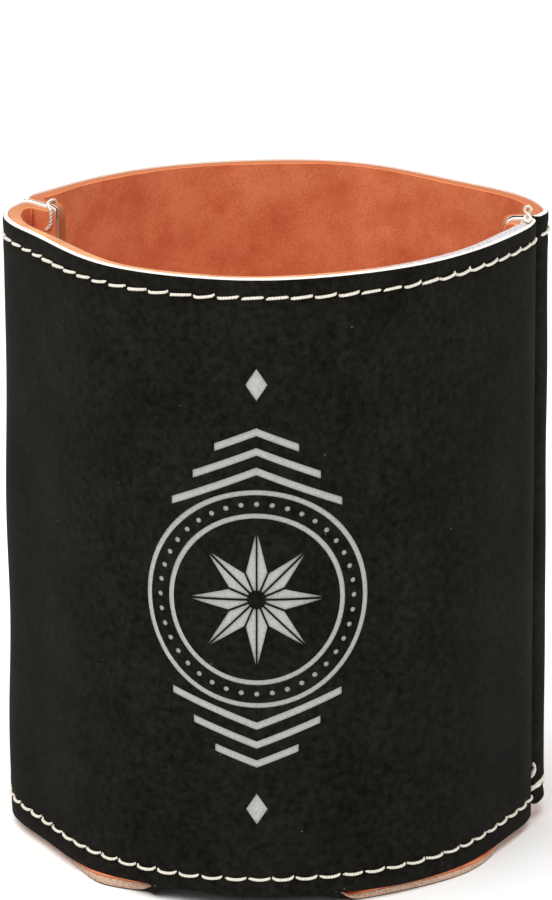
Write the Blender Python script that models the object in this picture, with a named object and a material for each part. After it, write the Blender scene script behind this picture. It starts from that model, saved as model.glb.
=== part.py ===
"""A soft can cooler sleeve, standing open and empty, in metres with +Z up.

The cover is one blank of black leatherette: a front panel, a round base and a back panel that
hang together at two necks. A thin lining is bonded inside it. The panels are sewn right sides
together at the left and right, so their ends turn into the pocket as seam allowances, and a row
of topstitching runs along the top and the bottom edge of each panel. The front is at -Y, and the
origin is on the floor under the middle of the pocket.
"""

import bisect
import math

import bmesh
import bpy
from mathutils import Vector

# Heights
sleeve_height = 0.09525
panel_lift = 0.0015          # the panels' bottom edges over the floor
lining_lift = 0.0016         # the lining's bottom edges over the floor

# Layers of the wall, from the outside inwards
cover_thickness = 0.0011
bond_gap = 0.0003
lining_thickness = 0.0011

# Plan of the wall: a round pocket, pulled out where the seams are
pocket_outer_radius = 0.0356
right_bulge_reach = 0.0051
right_bulge_angle = math.radians(16.0)
right_bulge_front_spread = math.radians(21.0)
right_bulge_back_spread = math.radians(26.0)
left_bulge_reach = 0.0047
left_bulge_angle = math.radians(186.5)
left_bulge_front_spread = math.radians(17.0)
left_bulge_back_spread = math.radians(28.5)
front_fullness = 0.0019
front_fullness_angle = math.radians(-115.5)
front_fullness_spread = math.radians(40.0)

# Side seams
seam_set_back = math.radians(5.3)     # how far behind the middle each seam lies
seam_tuck = 0.0017                    # how far the seam draws the wall in
seam_tuck_front_spread = math.radians(6.0)
seam_tuck_back_spread = math.radians(4.0)
seam_slit = 0.0004                    # between the two panels in the seam
seam_allowance = 0.0046
fold_radius = 0.0016
smallest_fold_radius = 0.0003
panel_corner_radius = 0.0030          # the panels' bottom corners, beside the seams

# Base and necks
base_radius = 0.0360
base_offset_x = -0.0004
base_offset_y = 0.0005
neck_width = 0.0268
neck_fold_radius = 0.0018
neck_inset = 0.00004                  # keeps the neck's faces off the panel's and the base's
neck_lap = 0.0016                     # how far a neck runs into the base
lining_base_clearance = 0.0003

# Stitching
stitch_margin_top = 0.0029
stitch_margin_bottom = 0.0030
stitch_pitch = 0.0035
thread_diameter = 0.0005
groove_depth = 0.0006
groove_floor_width = 0.0010
groove_mouth_width = 0.0014
stitch_dip = 0.00010                  # how far a stitch's ends sink into the groove
stitch_slant = 0.00008                # how far a stitch's middle sags
stitch_end_margin = 0.0008            # between the end of a row and the fold
seam_thread_clearance = 0.0003
tack_set_in = 0.0012                  # the tack over the rim, in from the seam's outer end

# Engraved ornament on the front panel
engraving_depth = 0.0002
engraving_middle_height = 0.0475
engraving_offset = 0.0022             # to the right of the panel's middle
engraving_overcut = 0.0004
medallion_radius = 0.0165
ring_width = 0.0008
inner_ring_radius = 0.0130
star_radius = 0.0105
star_waist_radius = 0.0042
star_hub_radius = 0.0014
star_points = 8
chevron_count = 3
chevron_half_width = 0.0125
chevron_narrowing = 0.0032
chevron_rise = 0.0050
chevron_width = 0.0012
chevron_spacing = 0.0042
chevron_gap = 0.0022
lozenge_half_height = 0.0024
lozenge_half_width = 0.0016
lozenge_tip_width = 0.0002
lozenge_gap = 0.0014

# Facets
wall_steps = 40
fold_steps = 3
base_steps = 96
neck_steps = 8
ring_steps = 40
fine_steps = 600
points_per_stitch = 3

# Colours
leather_colour = (0.017, 0.016, 0.014, 1.0)
lining_colour = (0.72, 0.17, 0.06, 1.0)
thread_colour = (0.83, 0.79, 0.68, 1.0)

# Values that follow from the sizes above
wall_thickness = cover_thickness + bond_gap + lining_thickness
lining_depth = cover_thickness + bond_gap
right_seam_angle = seam_set_back
left_seam_angle = math.pi - seam_set_back
thread_radius = thread_diameter / 2
top_stitch_height = sleeve_height - stitch_margin_top
bottom_stitch_height = panel_lift + stitch_margin_bottom
base_top = cover_thickness
lining_base_bottom = base_top + bond_gap
lining_base_top = lining_base_bottom + lining_thickness


def clear_scene():
    for obj in list(bpy.data.objects):
        bpy.data.objects.remove(obj, do_unlink=True)


def make_material(name, colour, roughness):
    material = bpy.data.materials.new(name)
    material.use_nodes = True
    shader = material.node_tree.nodes["Principled BSDF"]
    shader.inputs["Base Color"].default_value = colour
    shader.inputs["Roughness"].default_value = roughness
    shader.inputs["Metallic"].default_value = 0.0
    material.diffuse_color = colour
    return material


def mesh_object(name, bm, material=None):
    """Turns a bmesh into an object of the scene."""
    bmesh.ops.recalc_face_normals(bm, faces=bm.faces[:])
    mesh = bpy.data.meshes.new(name)
    bm.to_mesh(mesh)
    bm.free()
    obj = bpy.data.objects.new(name, mesh)
    bpy.context.scene.collection.objects.link(obj)
    if material:
        mesh.materials.append(material)
        mesh.shade_smooth()
        mesh.set_sharp_from_angle(angle=math.radians(35.0))
    return obj


def add_boolean(obj, helper, operation):
    helper.hide_render = True
    helper.display_type = "WIRE"
    modifier = obj.modifiers.new(f"{operation.lower()}_{helper.name}", "BOOLEAN")
    modifier.operation = operation
    modifier.solver = "EXACT"
    modifier.object = helper


# Plan of the wall

def turn_between(angle, centre):
    """The signed angle from centre to angle, within half a turn."""
    return (angle - centre + math.pi) % (2 * math.pi) - math.pi


def bell(turn, front_spread, back_spread):
    spread = front_spread if turn < 0 else back_spread
    return math.exp(-((turn / spread) ** 2))


def wall_radius(angle):
    from_right = turn_between(angle, right_bulge_angle)
    from_left = -turn_between(angle, left_bulge_angle)
    from_fullness = turn_between(angle, front_fullness_angle)
    radius = pocket_outer_radius
    radius += right_bulge_reach * bell(from_right, right_bulge_front_spread, right_bulge_back_spread)
    radius += left_bulge_reach * bell(from_left, left_bulge_front_spread, left_bulge_back_spread)
    radius += front_fullness * bell(from_fullness, front_fullness_spread, front_fullness_spread)
    for seam_turn in (
        turn_between(angle, right_seam_angle),
        -turn_between(angle, left_seam_angle),
    ):
        radius -= seam_tuck * bell(seam_turn, seam_tuck_front_spread, seam_tuck_back_spread)
    return radius


def wall_point(angle, depth=0.0):
    """A point of the wall in plan, at a depth below the cover's outer face."""
    small = math.radians(0.05)
    radius = wall_radius(angle)
    slope = (wall_radius(angle + small) - wall_radius(angle - small)) / (2 * small)
    outwards = Vector((math.cos(angle), math.sin(angle)))
    along = Vector((-math.sin(angle), math.cos(angle)))
    normal = (outwards * radius - along * slope).normalized()
    return outwards * radius - normal * depth


def spaced_angles(first, last):
    return [first + (last - first) * step / fine_steps for step in range(fine_steps + 1)]


def distances_along(angles):
    """How far round the wall's outer face each angle lies from the first one."""
    points = [wall_point(angle) for angle in angles]
    distances = [0.0]
    for one, other in zip(points, points[1:]):
        distances.append(distances[-1] + (other - one).length)
    return distances


def angle_at_length(angles, distances, wanted):
    index = min(max(bisect.bisect_left(distances, wanted), 1), len(distances) - 1)
    share = (wanted - distances[index - 1]) / (distances[index] - distances[index - 1])
    return angles[index - 1] + share * (angles[index] - angles[index - 1])


def seam_axes(seam_angle):
    outwards = Vector((math.cos(seam_angle), math.sin(seam_angle)))
    return outwards, Vector((-math.sin(seam_angle), math.cos(seam_angle)))


def angle_at_distance(seam_angle, direction, depth, distance):
    """Where the wall at this depth lies this far from the seam's middle plane."""
    across = seam_axes(seam_angle)[1]
    near, far = 0.0, math.radians(40.0)
    for _ in range(50):
        middle = (near + far) / 2
        point = wall_point(seam_angle + direction * middle, depth)
        if point.dot(across) * direction < distance:
            near = middle
        else:
            far = middle
    return seam_angle + direction * far


def seam_end(seam_angle, direction, depth):
    """The turned-in end of a panel: its points from the allowance's cut edge to the wall,
    and the angle at which the wall goes on."""
    outwards, across = seam_axes(seam_angle)
    face = seam_slit / 2 + depth
    radius = max(fold_radius - depth, smallest_fold_radius)
    corner = wall_point(angle_at_distance(seam_angle, direction, depth, face), depth)
    wall_angle = angle_at_distance(seam_angle, direction, depth, face + radius)
    wall_start = wall_point(wall_angle, depth)
    cut_edge = outwards * (wall_radius(seam_angle) - seam_allowance) + across * direction * face
    fold_start = corner - outwards * radius
    points = [cut_edge, fold_start]
    for step in range(1, fold_steps):
        t = step / fold_steps
        points.append(
            fold_start * (1 - t) ** 2 + corner * (2 * t * (1 - t)) + wall_start * t**2
        )
    return points, wall_angle


def panel_seams(side):
    """The seam angles at which a panel starts and ends, counterclockwise seen from above."""
    if side == "front":
        return left_seam_angle - 2 * math.pi, right_seam_angle
    return right_seam_angle, left_seam_angle


def panel_path(side, depth):
    """The plan of one face of a panel, from one cut edge round the wall to the other."""
    start, end = panel_seams(side)
    first, first_angle = seam_end(start, 1, depth)
    last, last_angle = seam_end(end, -1, depth)
    wall = []
    for step in range(wall_steps + 1):
        angle = first_angle + (last_angle - first_angle) * step / wall_steps
        wall.append(wall_point(angle, depth))
    return first + wall + last[::-1]


def corner_lift(side, column):
    """How far the panel's rounded bottom corner lifts its edge at this column of the path."""
    path = panel_path(side, 0.0)
    steps = [(after - before).length for before, after in zip(path, path[1:])]
    from_start = sum(steps[1:column])
    from_end = sum(steps[column:-1])
    inside = max(panel_corner_radius - min(from_start, from_end), 0.0)
    return panel_corner_radius - math.sqrt(panel_corner_radius**2 - inside**2)


# Solids that follow the wall

def swept_panel(side, profile, lifted):
    """Sweeps a closed profile of (depth, height) points along a panel. The profile's points
    whose indices are in lifted follow the rounded bottom corners."""
    bm = bmesh.new()
    columns = len(panel_path(side, 0.0))
    lifts = [corner_lift(side, column) for column in range(columns)]
    rings = []
    for index, (depth, height) in enumerate(profile):
        ring = []
        for column, point in enumerate(panel_path(side, depth)):
            lift = lifts[column] if index in lifted else 0.0
            ring.append(bm.verts.new((point.x, point.y, height + lift)))
        rings.append(ring)
    for index, ring in enumerate(rings):
        following = rings[(index + 1) % len(rings)]
        for column in range(columns - 1):
            bm.faces.new(
                (ring[column], ring[column + 1], following[column + 1], following[column])
            )
    bm.faces.new([ring[0] for ring in rings])
    bm.faces.new([ring[-1] for ring in rings])
    return bm


def groove(height):
    """The profile points of a stitch groove, from below upwards."""
    return [
        (0.0, height - groove_mouth_width / 2),
        (groove_depth, height - groove_floor_width / 2),
        (groove_depth, height + groove_floor_width / 2),
        (0.0, height + groove_mouth_width / 2),
    ]


def cover_panel(side):
    profile = [
        (0.0, panel_lift),
        *groove(bottom_stitch_height),
        *groove(top_stitch_height),
        (0.0, sleeve_height),
        (cover_thickness, sleeve_height),
        (cover_thickness, panel_lift),
    ]
    return swept_panel(side, profile, {0, len(profile) - 1})


def lining_panel(side):
    profile = [
        (lining_depth, lining_lift),
        (lining_depth, sleeve_height),
        (wall_thickness, sleeve_height),
        (wall_thickness, lining_lift),
    ]
    return swept_panel(side, profile, {0, 3})


def neck_angles(side):
    """Angles of the wall across the width of a neck."""
    middle = -math.pi / 2 if side == "front" else math.pi / 2
    half = math.asin(neck_width / 2 / pocket_outer_radius)
    return [middle - half + 2 * half * step / neck_steps for step in range(neck_steps + 1)]


def swept_neck(side, profile):
    bm = bmesh.new()
    rings = []
    for angle in neck_angles(side):
        ring = []
        for depth, height in profile:
            point = wall_point(angle, depth)
            ring.append(bm.verts.new((point.x, point.y, height)))
        rings.append(ring)
    count = len(profile)
    for ring, following in zip(rings, rings[1:]):
        for index in range(count):
            after = (index + 1) % count
            bm.faces.new((ring[index], ring[after], following[after], following[index]))
    bm.faces.new(rings[0])
    bm.faces.new(rings[-1])
    return bm


def cover_neck(side):
    """The rounded fold between a panel and the base."""
    outer = neck_fold_radius - neck_inset
    inner = neck_fold_radius - cover_thickness + neck_inset
    arc = [math.pi / 2 * step / 4 for step in range(5)]
    top = panel_lift + cover_thickness
    end = neck_fold_radius + neck_lap
    profile = [(neck_inset, top)]
    profile += [
        (neck_fold_radius - outer * math.cos(t), neck_fold_radius - outer * math.sin(t))
        for t in arc
    ]
    profile.append((end, neck_inset))
    profile.append((end, cover_thickness - neck_inset))
    profile += [
        (neck_fold_radius - inner * math.cos(t), neck_fold_radius - inner * math.sin(t))
        for t in reversed(arc)
    ]
    profile.append((cover_thickness - neck_inset, top))
    return swept_neck(side, profile)


def lining_neck(side):
    """The short strip that joins the lining's base to its wall."""
    outer = lining_depth + neck_inset
    inner = wall_thickness + neck_lap
    bottom = lining_base_bottom + neck_inset
    top = lining_base_top - neck_inset
    profile = [
        (outer, lining_lift + lining_thickness),
        (outer, lining_lift - neck_inset),
        (wall_thickness, bottom),
        (inner, bottom),
        (inner, top),
        (wall_thickness - neck_inset, top),
        (wall_thickness - neck_inset, lining_lift + lining_thickness),
    ]
    return swept_neck(side, profile)


def prism(points, bottom, top):
    """An upright closed prism over an outline in plan."""
    bm = bmesh.new()
    low = [bm.verts.new((x, y, bottom)) for x, y in points]
    high = [bm.verts.new((x, y, top)) for x, y in points]
    count = len(points)
    for index in range(count):
        after = (index + 1) % count
        bm.faces.new((low[index], low[after], high[after], high[index]))
    bm.faces.new(low)
    bm.faces.new(high)
    return bm


def base_outline():
    """The cover's round base, cut back under the wall where its two necks fold up."""
    points = []
    for step in range(base_steps):
        angle = 2 * math.pi * step / base_steps
        x = base_offset_x + base_radius * math.cos(angle)
        y = base_offset_y + base_radius * math.sin(angle)
        if abs(x) < neck_width / 2:
            x, y = wall_point(math.atan2(y, x), neck_fold_radius + neck_lap / 2)
        points.append((x, y))
    return points


def lining_base_outline():
    radius = pocket_outer_radius - wall_thickness - lining_base_clearance
    return [
        (
            radius * math.cos(2 * math.pi * step / base_steps),
            radius * math.sin(2 * math.pi * step / base_steps),
        )
        for step in range(base_steps)
    ]


# Engraved ornament

surface_start, surface_end = panel_seams("front")
surface_angles = spaced_angles(surface_start, surface_end)
surface_distances = distances_along(surface_angles)
surface_middle = surface_distances[
    min(range(len(surface_angles)), key=lambda i: abs(surface_angles[i] + math.pi / 2))
]


def point_on_front(across, depth):
    """A point of the front panel in plan, at a distance along its face from its middle."""
    angle = angle_at_length(surface_angles, surface_distances, surface_middle + across)
    return wall_point(angle, depth)


def engraved_strip(rails):
    """A cutter over a strip on the front panel. rails holds pairs of points, one on each side of
    the strip, as (across, up) from the ornament's middle; a closed strip repeats its first pair."""
    bm = bmesh.new()
    closed = rails[0] == rails[-1]
    pairs = rails[:-1] if closed else rails
    rings = []
    for left, right in pairs:
        ring = []
        for (across, up), depth in (
            (left, -engraving_overcut),
            (right, -engraving_overcut),
            (right, engraving_depth),
            (left, engraving_depth),
        ):
            point = point_on_front(engraving_offset + across, depth)
            ring.append(bm.verts.new((point.x, point.y, engraving_middle_height + up)))
        rings.append(ring)
    following_rings = rings[1:] + rings[:1] if closed else rings[1:]
    for ring, following in zip(rings, following_rings):
        for index in range(4):
            after = (index + 1) % 4
            bm.faces.new((ring[index], ring[after], following[after], following[index]))
    if not closed:
        bm.faces.new(rings[0])
        bm.faces.new(rings[-1])
    return bm


def ring_rails(radius):
    rails = []
    for step in range(ring_steps + 1):
        angle = 2 * math.pi * (step % ring_steps) / ring_steps
        direction = (math.cos(angle), math.sin(angle))
        outer = (radius * direction[0], radius * direction[1])
        inner_radius = radius - ring_width
        inner = (inner_radius * direction[0], inner_radius * direction[1])
        rails.append((outer, inner))
    return rails


def star_rails():
    """The outline of a star as a closed strip around an eight-sided middle."""
    rails = []
    count = star_points * 2
    for step in range(count + 1):
        angle = 2 * math.pi * (step % count) / count + math.pi / 2
        reach = star_waist_radius if step % 2 else star_radius
        outer = (reach * math.cos(angle), reach * math.sin(angle))
        inner = (star_hub_radius * math.cos(angle), star_hub_radius * math.sin(angle))
        rails.append((outer, inner))
    return rails


def chevron_rails(number, direction):
    """One chevron over or under the medallion."""
    half = chevron_half_width - chevron_narrowing * number
    rise = chevron_rise * half / chevron_half_width
    near = medallion_radius + chevron_gap - chevron_rise + chevron_spacing * number
    rails = []
    for share in (-1.0, -0.5, 0.0, 0.5, 1.0):
        across = half * share
        low_up = near + rise * (1 - abs(share))
        low = (across, direction * low_up)
        high = (across, direction * (low_up + chevron_width))
        rails.append((low, high))
    return rails


def lozenge_rails(direction):
    """A small lozenge beyond the last chevron."""
    last = chevron_count - 1
    tip = medallion_radius + chevron_gap + chevron_spacing * last
    centre = direction * (tip + chevron_width + lozenge_gap + lozenge_half_height)
    tip_half = lozenge_tip_width / 2
    rails = []
    for up, half in ((-1.0, tip_half), (0.0, lozenge_half_width), (1.0, tip_half)):
        height = centre + up * lozenge_half_height
        rails.append(((-half, height), (half, height)))
    return rails


def engraving_cutters():
    strips = {"outer_ring": ring_rails(medallion_radius), "inner_ring": ring_rails(inner_ring_radius)}
    strips["star"] = star_rails()
    for direction, place in ((1, "upper"), (-1, "lower")):
        for number in range(chevron_count):
            strips[f"{place}_chevron_{number + 1}"] = chevron_rails(number, direction)
        strips[f"{place}_lozenge"] = lozenge_rails(direction)
    return {name: engraved_strip(rails) for name, rails in strips.items()}


# Thread

def thread_object(name, points, sides_level, material):
    curve = bpy.data.curves.new(name, "CURVE")
    curve.dimensions = "3D"
    curve.bevel_depth = thread_radius
    curve.bevel_resolution = sides_level
    curve.use_fill_caps = True
    spline = curve.splines.new("POLY")
    spline.points.add(len(points) - 1)
    for spline_point, point in zip(spline.points, points):
        spline_point.co = (*point, 1.0)
    curve.materials.append(material)
    obj = bpy.data.objects.new(name, curve)
    bpy.context.scene.collection.objects.link(obj)
    return obj


def topstitching(name, side, height, material):
    """A row of stitches in its groove, as one thread that dips between stitches."""
    start, end = panel_seams(side)
    margin = seam_slit / 2 + fold_radius + stitch_end_margin
    angles = spaced_angles(
        angle_at_distance(start, 1, 0.0, margin), angle_at_distance(end, -1, 0.0, margin)
    )
    distances = distances_along(angles)
    steps = round(distances[-1] / stitch_pitch) * points_per_stitch
    points = []
    for step in range(steps + 1):
        angle = angle_at_length(angles, distances, distances[-1] * step / steps)
        at_end = step % points_per_stitch == 0
        place = wall_point(angle, stitch_dip if at_end else 0.0)
        points.append((place.x, place.y, height + (stitch_slant if at_end else -stitch_slant)))
    return thread_object(name, points, 1, material)


def seam_stitching(name, seam_angle, material):
    """The seam's thread: a row up one allowance, a tack over the rim, a row down the other."""
    outwards, across = seam_axes(seam_angle)
    stand_off = seam_thread_clearance + thread_radius
    beside = seam_slit / 2 + wall_thickness + stand_off
    row_radius = wall_radius(seam_angle) - seam_allowance + thread_radius * 2
    tack_radius = wall_radius(seam_angle) - tack_set_in
    bottom = panel_lift + panel_corner_radius + stitch_margin_bottom
    top = sleeve_height - stand_off
    over = sleeve_height + stand_off
    stitches = round((top - bottom) / stitch_pitch)

    def place(radial, sideways, height):
        flat = outwards * radial + across * sideways
        return (flat.x, flat.y, height)

    row = []
    for step in range(stitches * 2 + 1):
        bulge = stitch_dip if step % 2 else 0.0
        row.append((bulge, bottom + (top - bottom) * step / (stitches * 2)))
    points = [place(row_radius, -beside - bulge, height) for bulge, height in row]
    points.append(place(row_radius, thread_radius - beside, over))
    points.append(place(tack_radius, -cover_thickness, over))
    points.append(place(tack_radius, cover_thickness, over))
    points.append(place(row_radius, beside - thread_radius, over))
    points += [place(row_radius, beside + bulge, height) for bulge, height in reversed(row)]
    return thread_object(name, points, 0, material)


def make_cover(material):
    cover = mesh_object("cover", cover_panel("front"), material)
    add_boolean(cover, mesh_object("base_blank", prism(base_outline(), 0.0, base_top)), "UNION")
    add_boolean(cover, mesh_object("front_neck", cover_neck("front")), "UNION")
    add_boolean(cover, mesh_object("back_neck", cover_neck("back")), "UNION")
    add_boolean(cover, mesh_object("back_panel", cover_panel("back")), "UNION")
    for name, cutter in engraving_cutters().items():
        add_boolean(cover, mesh_object(f"engraving_{name}", cutter), "DIFFERENCE")
    return cover


def make_lining(material):
    lining = mesh_object("lining", lining_panel("front"), material)
    blank = prism(lining_base_outline(), lining_base_bottom, lining_base_top)
    add_boolean(lining, mesh_object("lining_base", blank), "UNION")
    add_boolean(lining, mesh_object("lining_front_neck", lining_neck("front")), "UNION")
    add_boolean(lining, mesh_object("lining_back_neck", lining_neck("back")), "UNION")
    add_boolean(lining, mesh_object("lining_back_panel", lining_panel("back")), "UNION")
    return lining


def main():
    clear_scene()
    leather = make_material("black_leatherette", leather_colour, 0.75)
    fabric = make_material("orange_lining", lining_colour, 0.85)
    thread = make_material("cream_thread", thread_colour, 0.7)
    make_cover(leather)
    make_lining(fabric)
    for side in ("front", "back"):
        topstitching(f"{side}_top_stitching", side, top_stitch_height, thread)
        topstitching(f"{side}_bottom_stitching", side, bottom_stitch_height, thread)
    seam_stitching("right_seam_stitching", right_seam_angle, thread)
    seam_stitching("left_seam_stitching", left_seam_angle, thread)


main()
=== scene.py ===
# Can cooler sleeve: the looks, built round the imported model.
# Metres, +Z up, the engraved front panel faces -Y. Angles run counterclockwise seen from above.
import math

import bpy
import numpy as np
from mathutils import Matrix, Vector
from mathutils.geometry import delaunay_2d_cdt, interpolate_bezier


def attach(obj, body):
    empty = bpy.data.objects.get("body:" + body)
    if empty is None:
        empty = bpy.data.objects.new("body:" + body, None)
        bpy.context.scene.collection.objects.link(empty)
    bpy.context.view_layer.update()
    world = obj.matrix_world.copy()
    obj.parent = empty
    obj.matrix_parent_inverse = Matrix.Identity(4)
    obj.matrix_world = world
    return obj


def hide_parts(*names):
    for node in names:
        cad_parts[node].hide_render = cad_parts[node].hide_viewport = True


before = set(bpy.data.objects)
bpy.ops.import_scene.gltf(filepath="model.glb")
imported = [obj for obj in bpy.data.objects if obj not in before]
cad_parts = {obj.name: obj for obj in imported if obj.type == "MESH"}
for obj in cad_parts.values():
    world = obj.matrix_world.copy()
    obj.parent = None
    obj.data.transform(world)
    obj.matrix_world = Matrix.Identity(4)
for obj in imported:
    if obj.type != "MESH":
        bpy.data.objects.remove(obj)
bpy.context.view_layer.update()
print("frame loaded")


# Camera, light and floor

view = {
    "distance": 0.750,
    "lookHeight": 0.05884,
    "sideShift": -0.00015,
    "elevation": math.radians(16.97),
    "turn": math.radians(8.0),        # round to the object's right
    "lens": 200.3,
    "sensor": 36.0,
}

light = {
    "worldColour": (1.0, 0.995, 0.985, 1.0),
    "worldStrength": 0.50,
    "topPower": 70.0,
    "topPlace": (-0.3, -0.4, 2.2),
    "topSize": 2.6,
    "keyPower": 1.2,
    "keyPlace": (-0.55, -0.75, 0.85),
    "keySize": 0.35,
    "sidePower": 0.5,
    "sidePlace": (0.85, -0.25, 0.35),
    "sideSize": 0.30,
}

floor = {"radius": 4.0, "sides": 96, "colour": (0.93, 0.925, 0.915, 1.0)}


def addCamera():
    turn, elevation = view["turn"], view["elevation"]
    right = Vector((math.cos(turn), math.sin(turn), 0.0))
    back = Vector((
        math.sin(turn) * math.cos(elevation),
        -math.cos(turn) * math.cos(elevation),
        math.sin(elevation),
    ))
    lookAt = Vector((0.0, 0.0, view["lookHeight"])) + right * view["sideShift"]
    data = bpy.data.cameras.new("camera")
    data.lens = view["lens"]
    data.sensor_width = view["sensor"]
    data.clip_start = 0.01
    data.clip_end = 20.0
    camera = bpy.data.objects.new("camera", data)
    camera.location = lookAt + back * view["distance"]
    camera.rotation_euler = (-back).to_track_quat("-Z", "Y").to_euler()
    bpy.context.scene.collection.objects.link(camera)
    bpy.context.scene.camera = camera


def addLamp(name):
    data = bpy.data.lights.new(name, "AREA")
    data.energy = light[name + "Power"]
    data.size = light[name + "Size"]
    lamp = bpy.data.objects.new(name, data)
    lamp.location = light[name + "Place"]
    towards = Vector((0.0, 0.0, 0.05)) - lamp.location
    lamp.rotation_euler = towards.to_track_quat("-Z", "Y").to_euler()
    bpy.context.scene.collection.objects.link(lamp)


def addWorld():
    world = bpy.data.worlds.new("studio")
    world.use_nodes = True
    background = world.node_tree.nodes["Background"]
    background.inputs["Color"].default_value = light["worldColour"]
    background.inputs["Strength"].default_value = light["worldStrength"]
    bpy.context.scene.world = world
    bpy.context.scene.view_settings.view_transform = "Standard"


def addFloor():
    count = floor["sides"]
    points = [
        (floor["radius"] * math.cos(2 * math.pi * i / count),
         floor["radius"] * math.sin(2 * math.pi * i / count), 0.0)
        for i in range(count)
    ]
    mesh = bpy.data.meshes.new("floor")
    mesh.from_pydata(points, [], [list(range(count))])
    material = bpy.data.materials.new("paleFloor")
    material.use_nodes = True
    shader = material.node_tree.nodes["Principled BSDF"]
    shader.inputs["Base Color"].default_value = floor["colour"]
    shader.inputs["Roughness"].default_value = 0.9
    shader.inputs["Specular IOR Level"].default_value = 0.1
    mesh.materials.append(material)
    obj = bpy.data.objects.new("floor", mesh)
    bpy.context.scene.collection.objects.link(obj)


addCamera()
addWorld()
for lampName in ("top", "key", "side"):
    addLamp(lampName)
addFloor()
print("camera, light and floor")


# Materials

leather = {
    "dark": (0.0024, 0.0022, 0.0017, 1.0),
    "pale": (0.0172, 0.0156, 0.0121, 1.0),
    "patchScale": 95.0,
    "patchShare": 0.4,
    "patchBase": 0.3,
    "toneRange": (0.15, 0.38),
    "mottleScale": 900.0,
    "grainScale": 2600.0,
    "napScale": 9000.0,
    "fleckScale": 210.0,
    "fleckSize": 0.020,
    "fleck": (0.16, 0.155, 0.145, 1.0),
    "roughness": 0.82,
    "smoother": 0.08,             # where the leather is darkest
    "rougher": 0.1,
    "specular": 0.05,
    "sheen": 0.004,
}

backing = {
    "white": (0.90, 0.88, 0.84, 1.0),
    "shade": (0.74, 0.68, 0.60, 1.0),
    "fibreScale": 5200.0,
}

baseBacking = {
    "white": (0.70, 0.50, 0.38, 1.0),
    "shade": (0.30, 0.15, 0.09, 1.0),
    "fibreScale": 3600.0,
}

fabric = {
    "bright": (0.84, 0.285, 0.125, 1.0),
    "deep": (0.64, 0.150, 0.056, 1.0),
    "napScale": 3800.0,
    "cloudScale": 160.0,
}

liningEdge = {
    "bright": (0.70, 0.36, 0.175, 1.0),
    "deep": (0.50, 0.20, 0.090, 1.0),
    "rear": (0.46, 0.140, 0.052, 1.0),
    "rearFrom": (-0.012, 0.004),   # front to back, where the rim grows deeper in colour
    # painted grey that stands for shade and reflection on the front rim near the right seam
    "paintedGrey": (0.66, 0.63, 0.64, 1.0),
    "paintedGreyDeep": (0.24, 0.20, 0.20, 1.0),
    "paintedGreyFrom": (0.013, 0.026),   # across, where the painted grey of shade and reflection on the front rim starts
    "paintedGreyBeside": (-0.0036, 0.0360),   # and how near to the seam, in front of it and across, it ends
    "paintedGreyInFront": 0.0022,
    "paintedGreyAbove": 0.09,
    "paintedGreyRange": (0.40, 0.55),
    "seamAngle": math.radians(5.3),
}

cotton = {
    "pale": (0.93, 0.89, 0.79, 1.0),
    "dull": (0.52, 0.45, 0.34, 1.0),
    "fibreScale": 7000.0,
}

engraved = {
    "silver": (0.50, 0.495, 0.475, 1.0),
    "dull": (0.36, 0.355, 0.34, 1.0),
    "linePitch": 0.00016,
}


def startMaterial(name):
    material = bpy.data.materials.new(name)
    material.use_nodes = True
    tree = material.node_tree
    return material, tree.nodes, tree.links, tree.nodes["Principled BSDF"]


def addNoise(nodes, links, source, scale, detail=3.0, roughness=0.55):
    noise = nodes.new("ShaderNodeTexNoise")
    noise.inputs["Scale"].default_value = scale
    noise.inputs["Detail"].default_value = detail
    noise.inputs["Roughness"].default_value = roughness
    links.new(source, noise.inputs["Vector"])
    return noise.outputs["Fac"]


def addRamp(nodes, links, source, low, high, lowColour, highColour):
    ramp = nodes.new("ShaderNodeValToRGB")
    ramp.color_ramp.elements[0].position = low
    ramp.color_ramp.elements[0].color = lowColour
    ramp.color_ramp.elements[1].position = high
    ramp.color_ramp.elements[1].color = highColour
    links.new(source, ramp.inputs["Fac"])
    return ramp.outputs["Color"]


def addMix(nodes, links, share, one, other, blend="MIX"):
    mix = nodes.new("ShaderNodeMix")
    mix.data_type = "RGBA"
    mix.blend_type = blend
    colours = [socket for socket in mix.inputs if socket.type == "RGBA"]
    for value, socket in ((share, mix.inputs["Factor"]), (one, colours[0]), (other, colours[1])):
        if isinstance(value, bpy.types.NodeSocket):
            links.new(value, socket)
        else:
            socket.default_value = value
    return next(socket for socket in mix.outputs if socket.type == "RGBA")


def addMath(nodes, links, operation, one, other=0.0):
    node = nodes.new("ShaderNodeMath")
    node.operation = operation
    for value, socket in zip((one, other), node.inputs):
        if isinstance(value, bpy.types.NodeSocket):
            links.new(value, socket)
        else:
            socket.default_value = value
    return node.outputs["Value"]


def addBump(nodes, links, shader, layers):
    # layers holds (height, distance, strength) from the coarsest to the finest
    normal = None
    for height, distance, strength in layers:
        bump = nodes.new("ShaderNodeBump")
        bump.inputs["Distance"].default_value = distance
        bump.inputs["Strength"].default_value = strength
        links.new(height, bump.inputs["Height"])
        if normal:
            links.new(normal, bump.inputs["Normal"])
        normal = bump.outputs["Normal"]
    links.new(normal, shader.inputs["Normal"])


def objectCoordinates(nodes):
    return nodes.new("ShaderNodeTexCoord").outputs["Object"]


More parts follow.
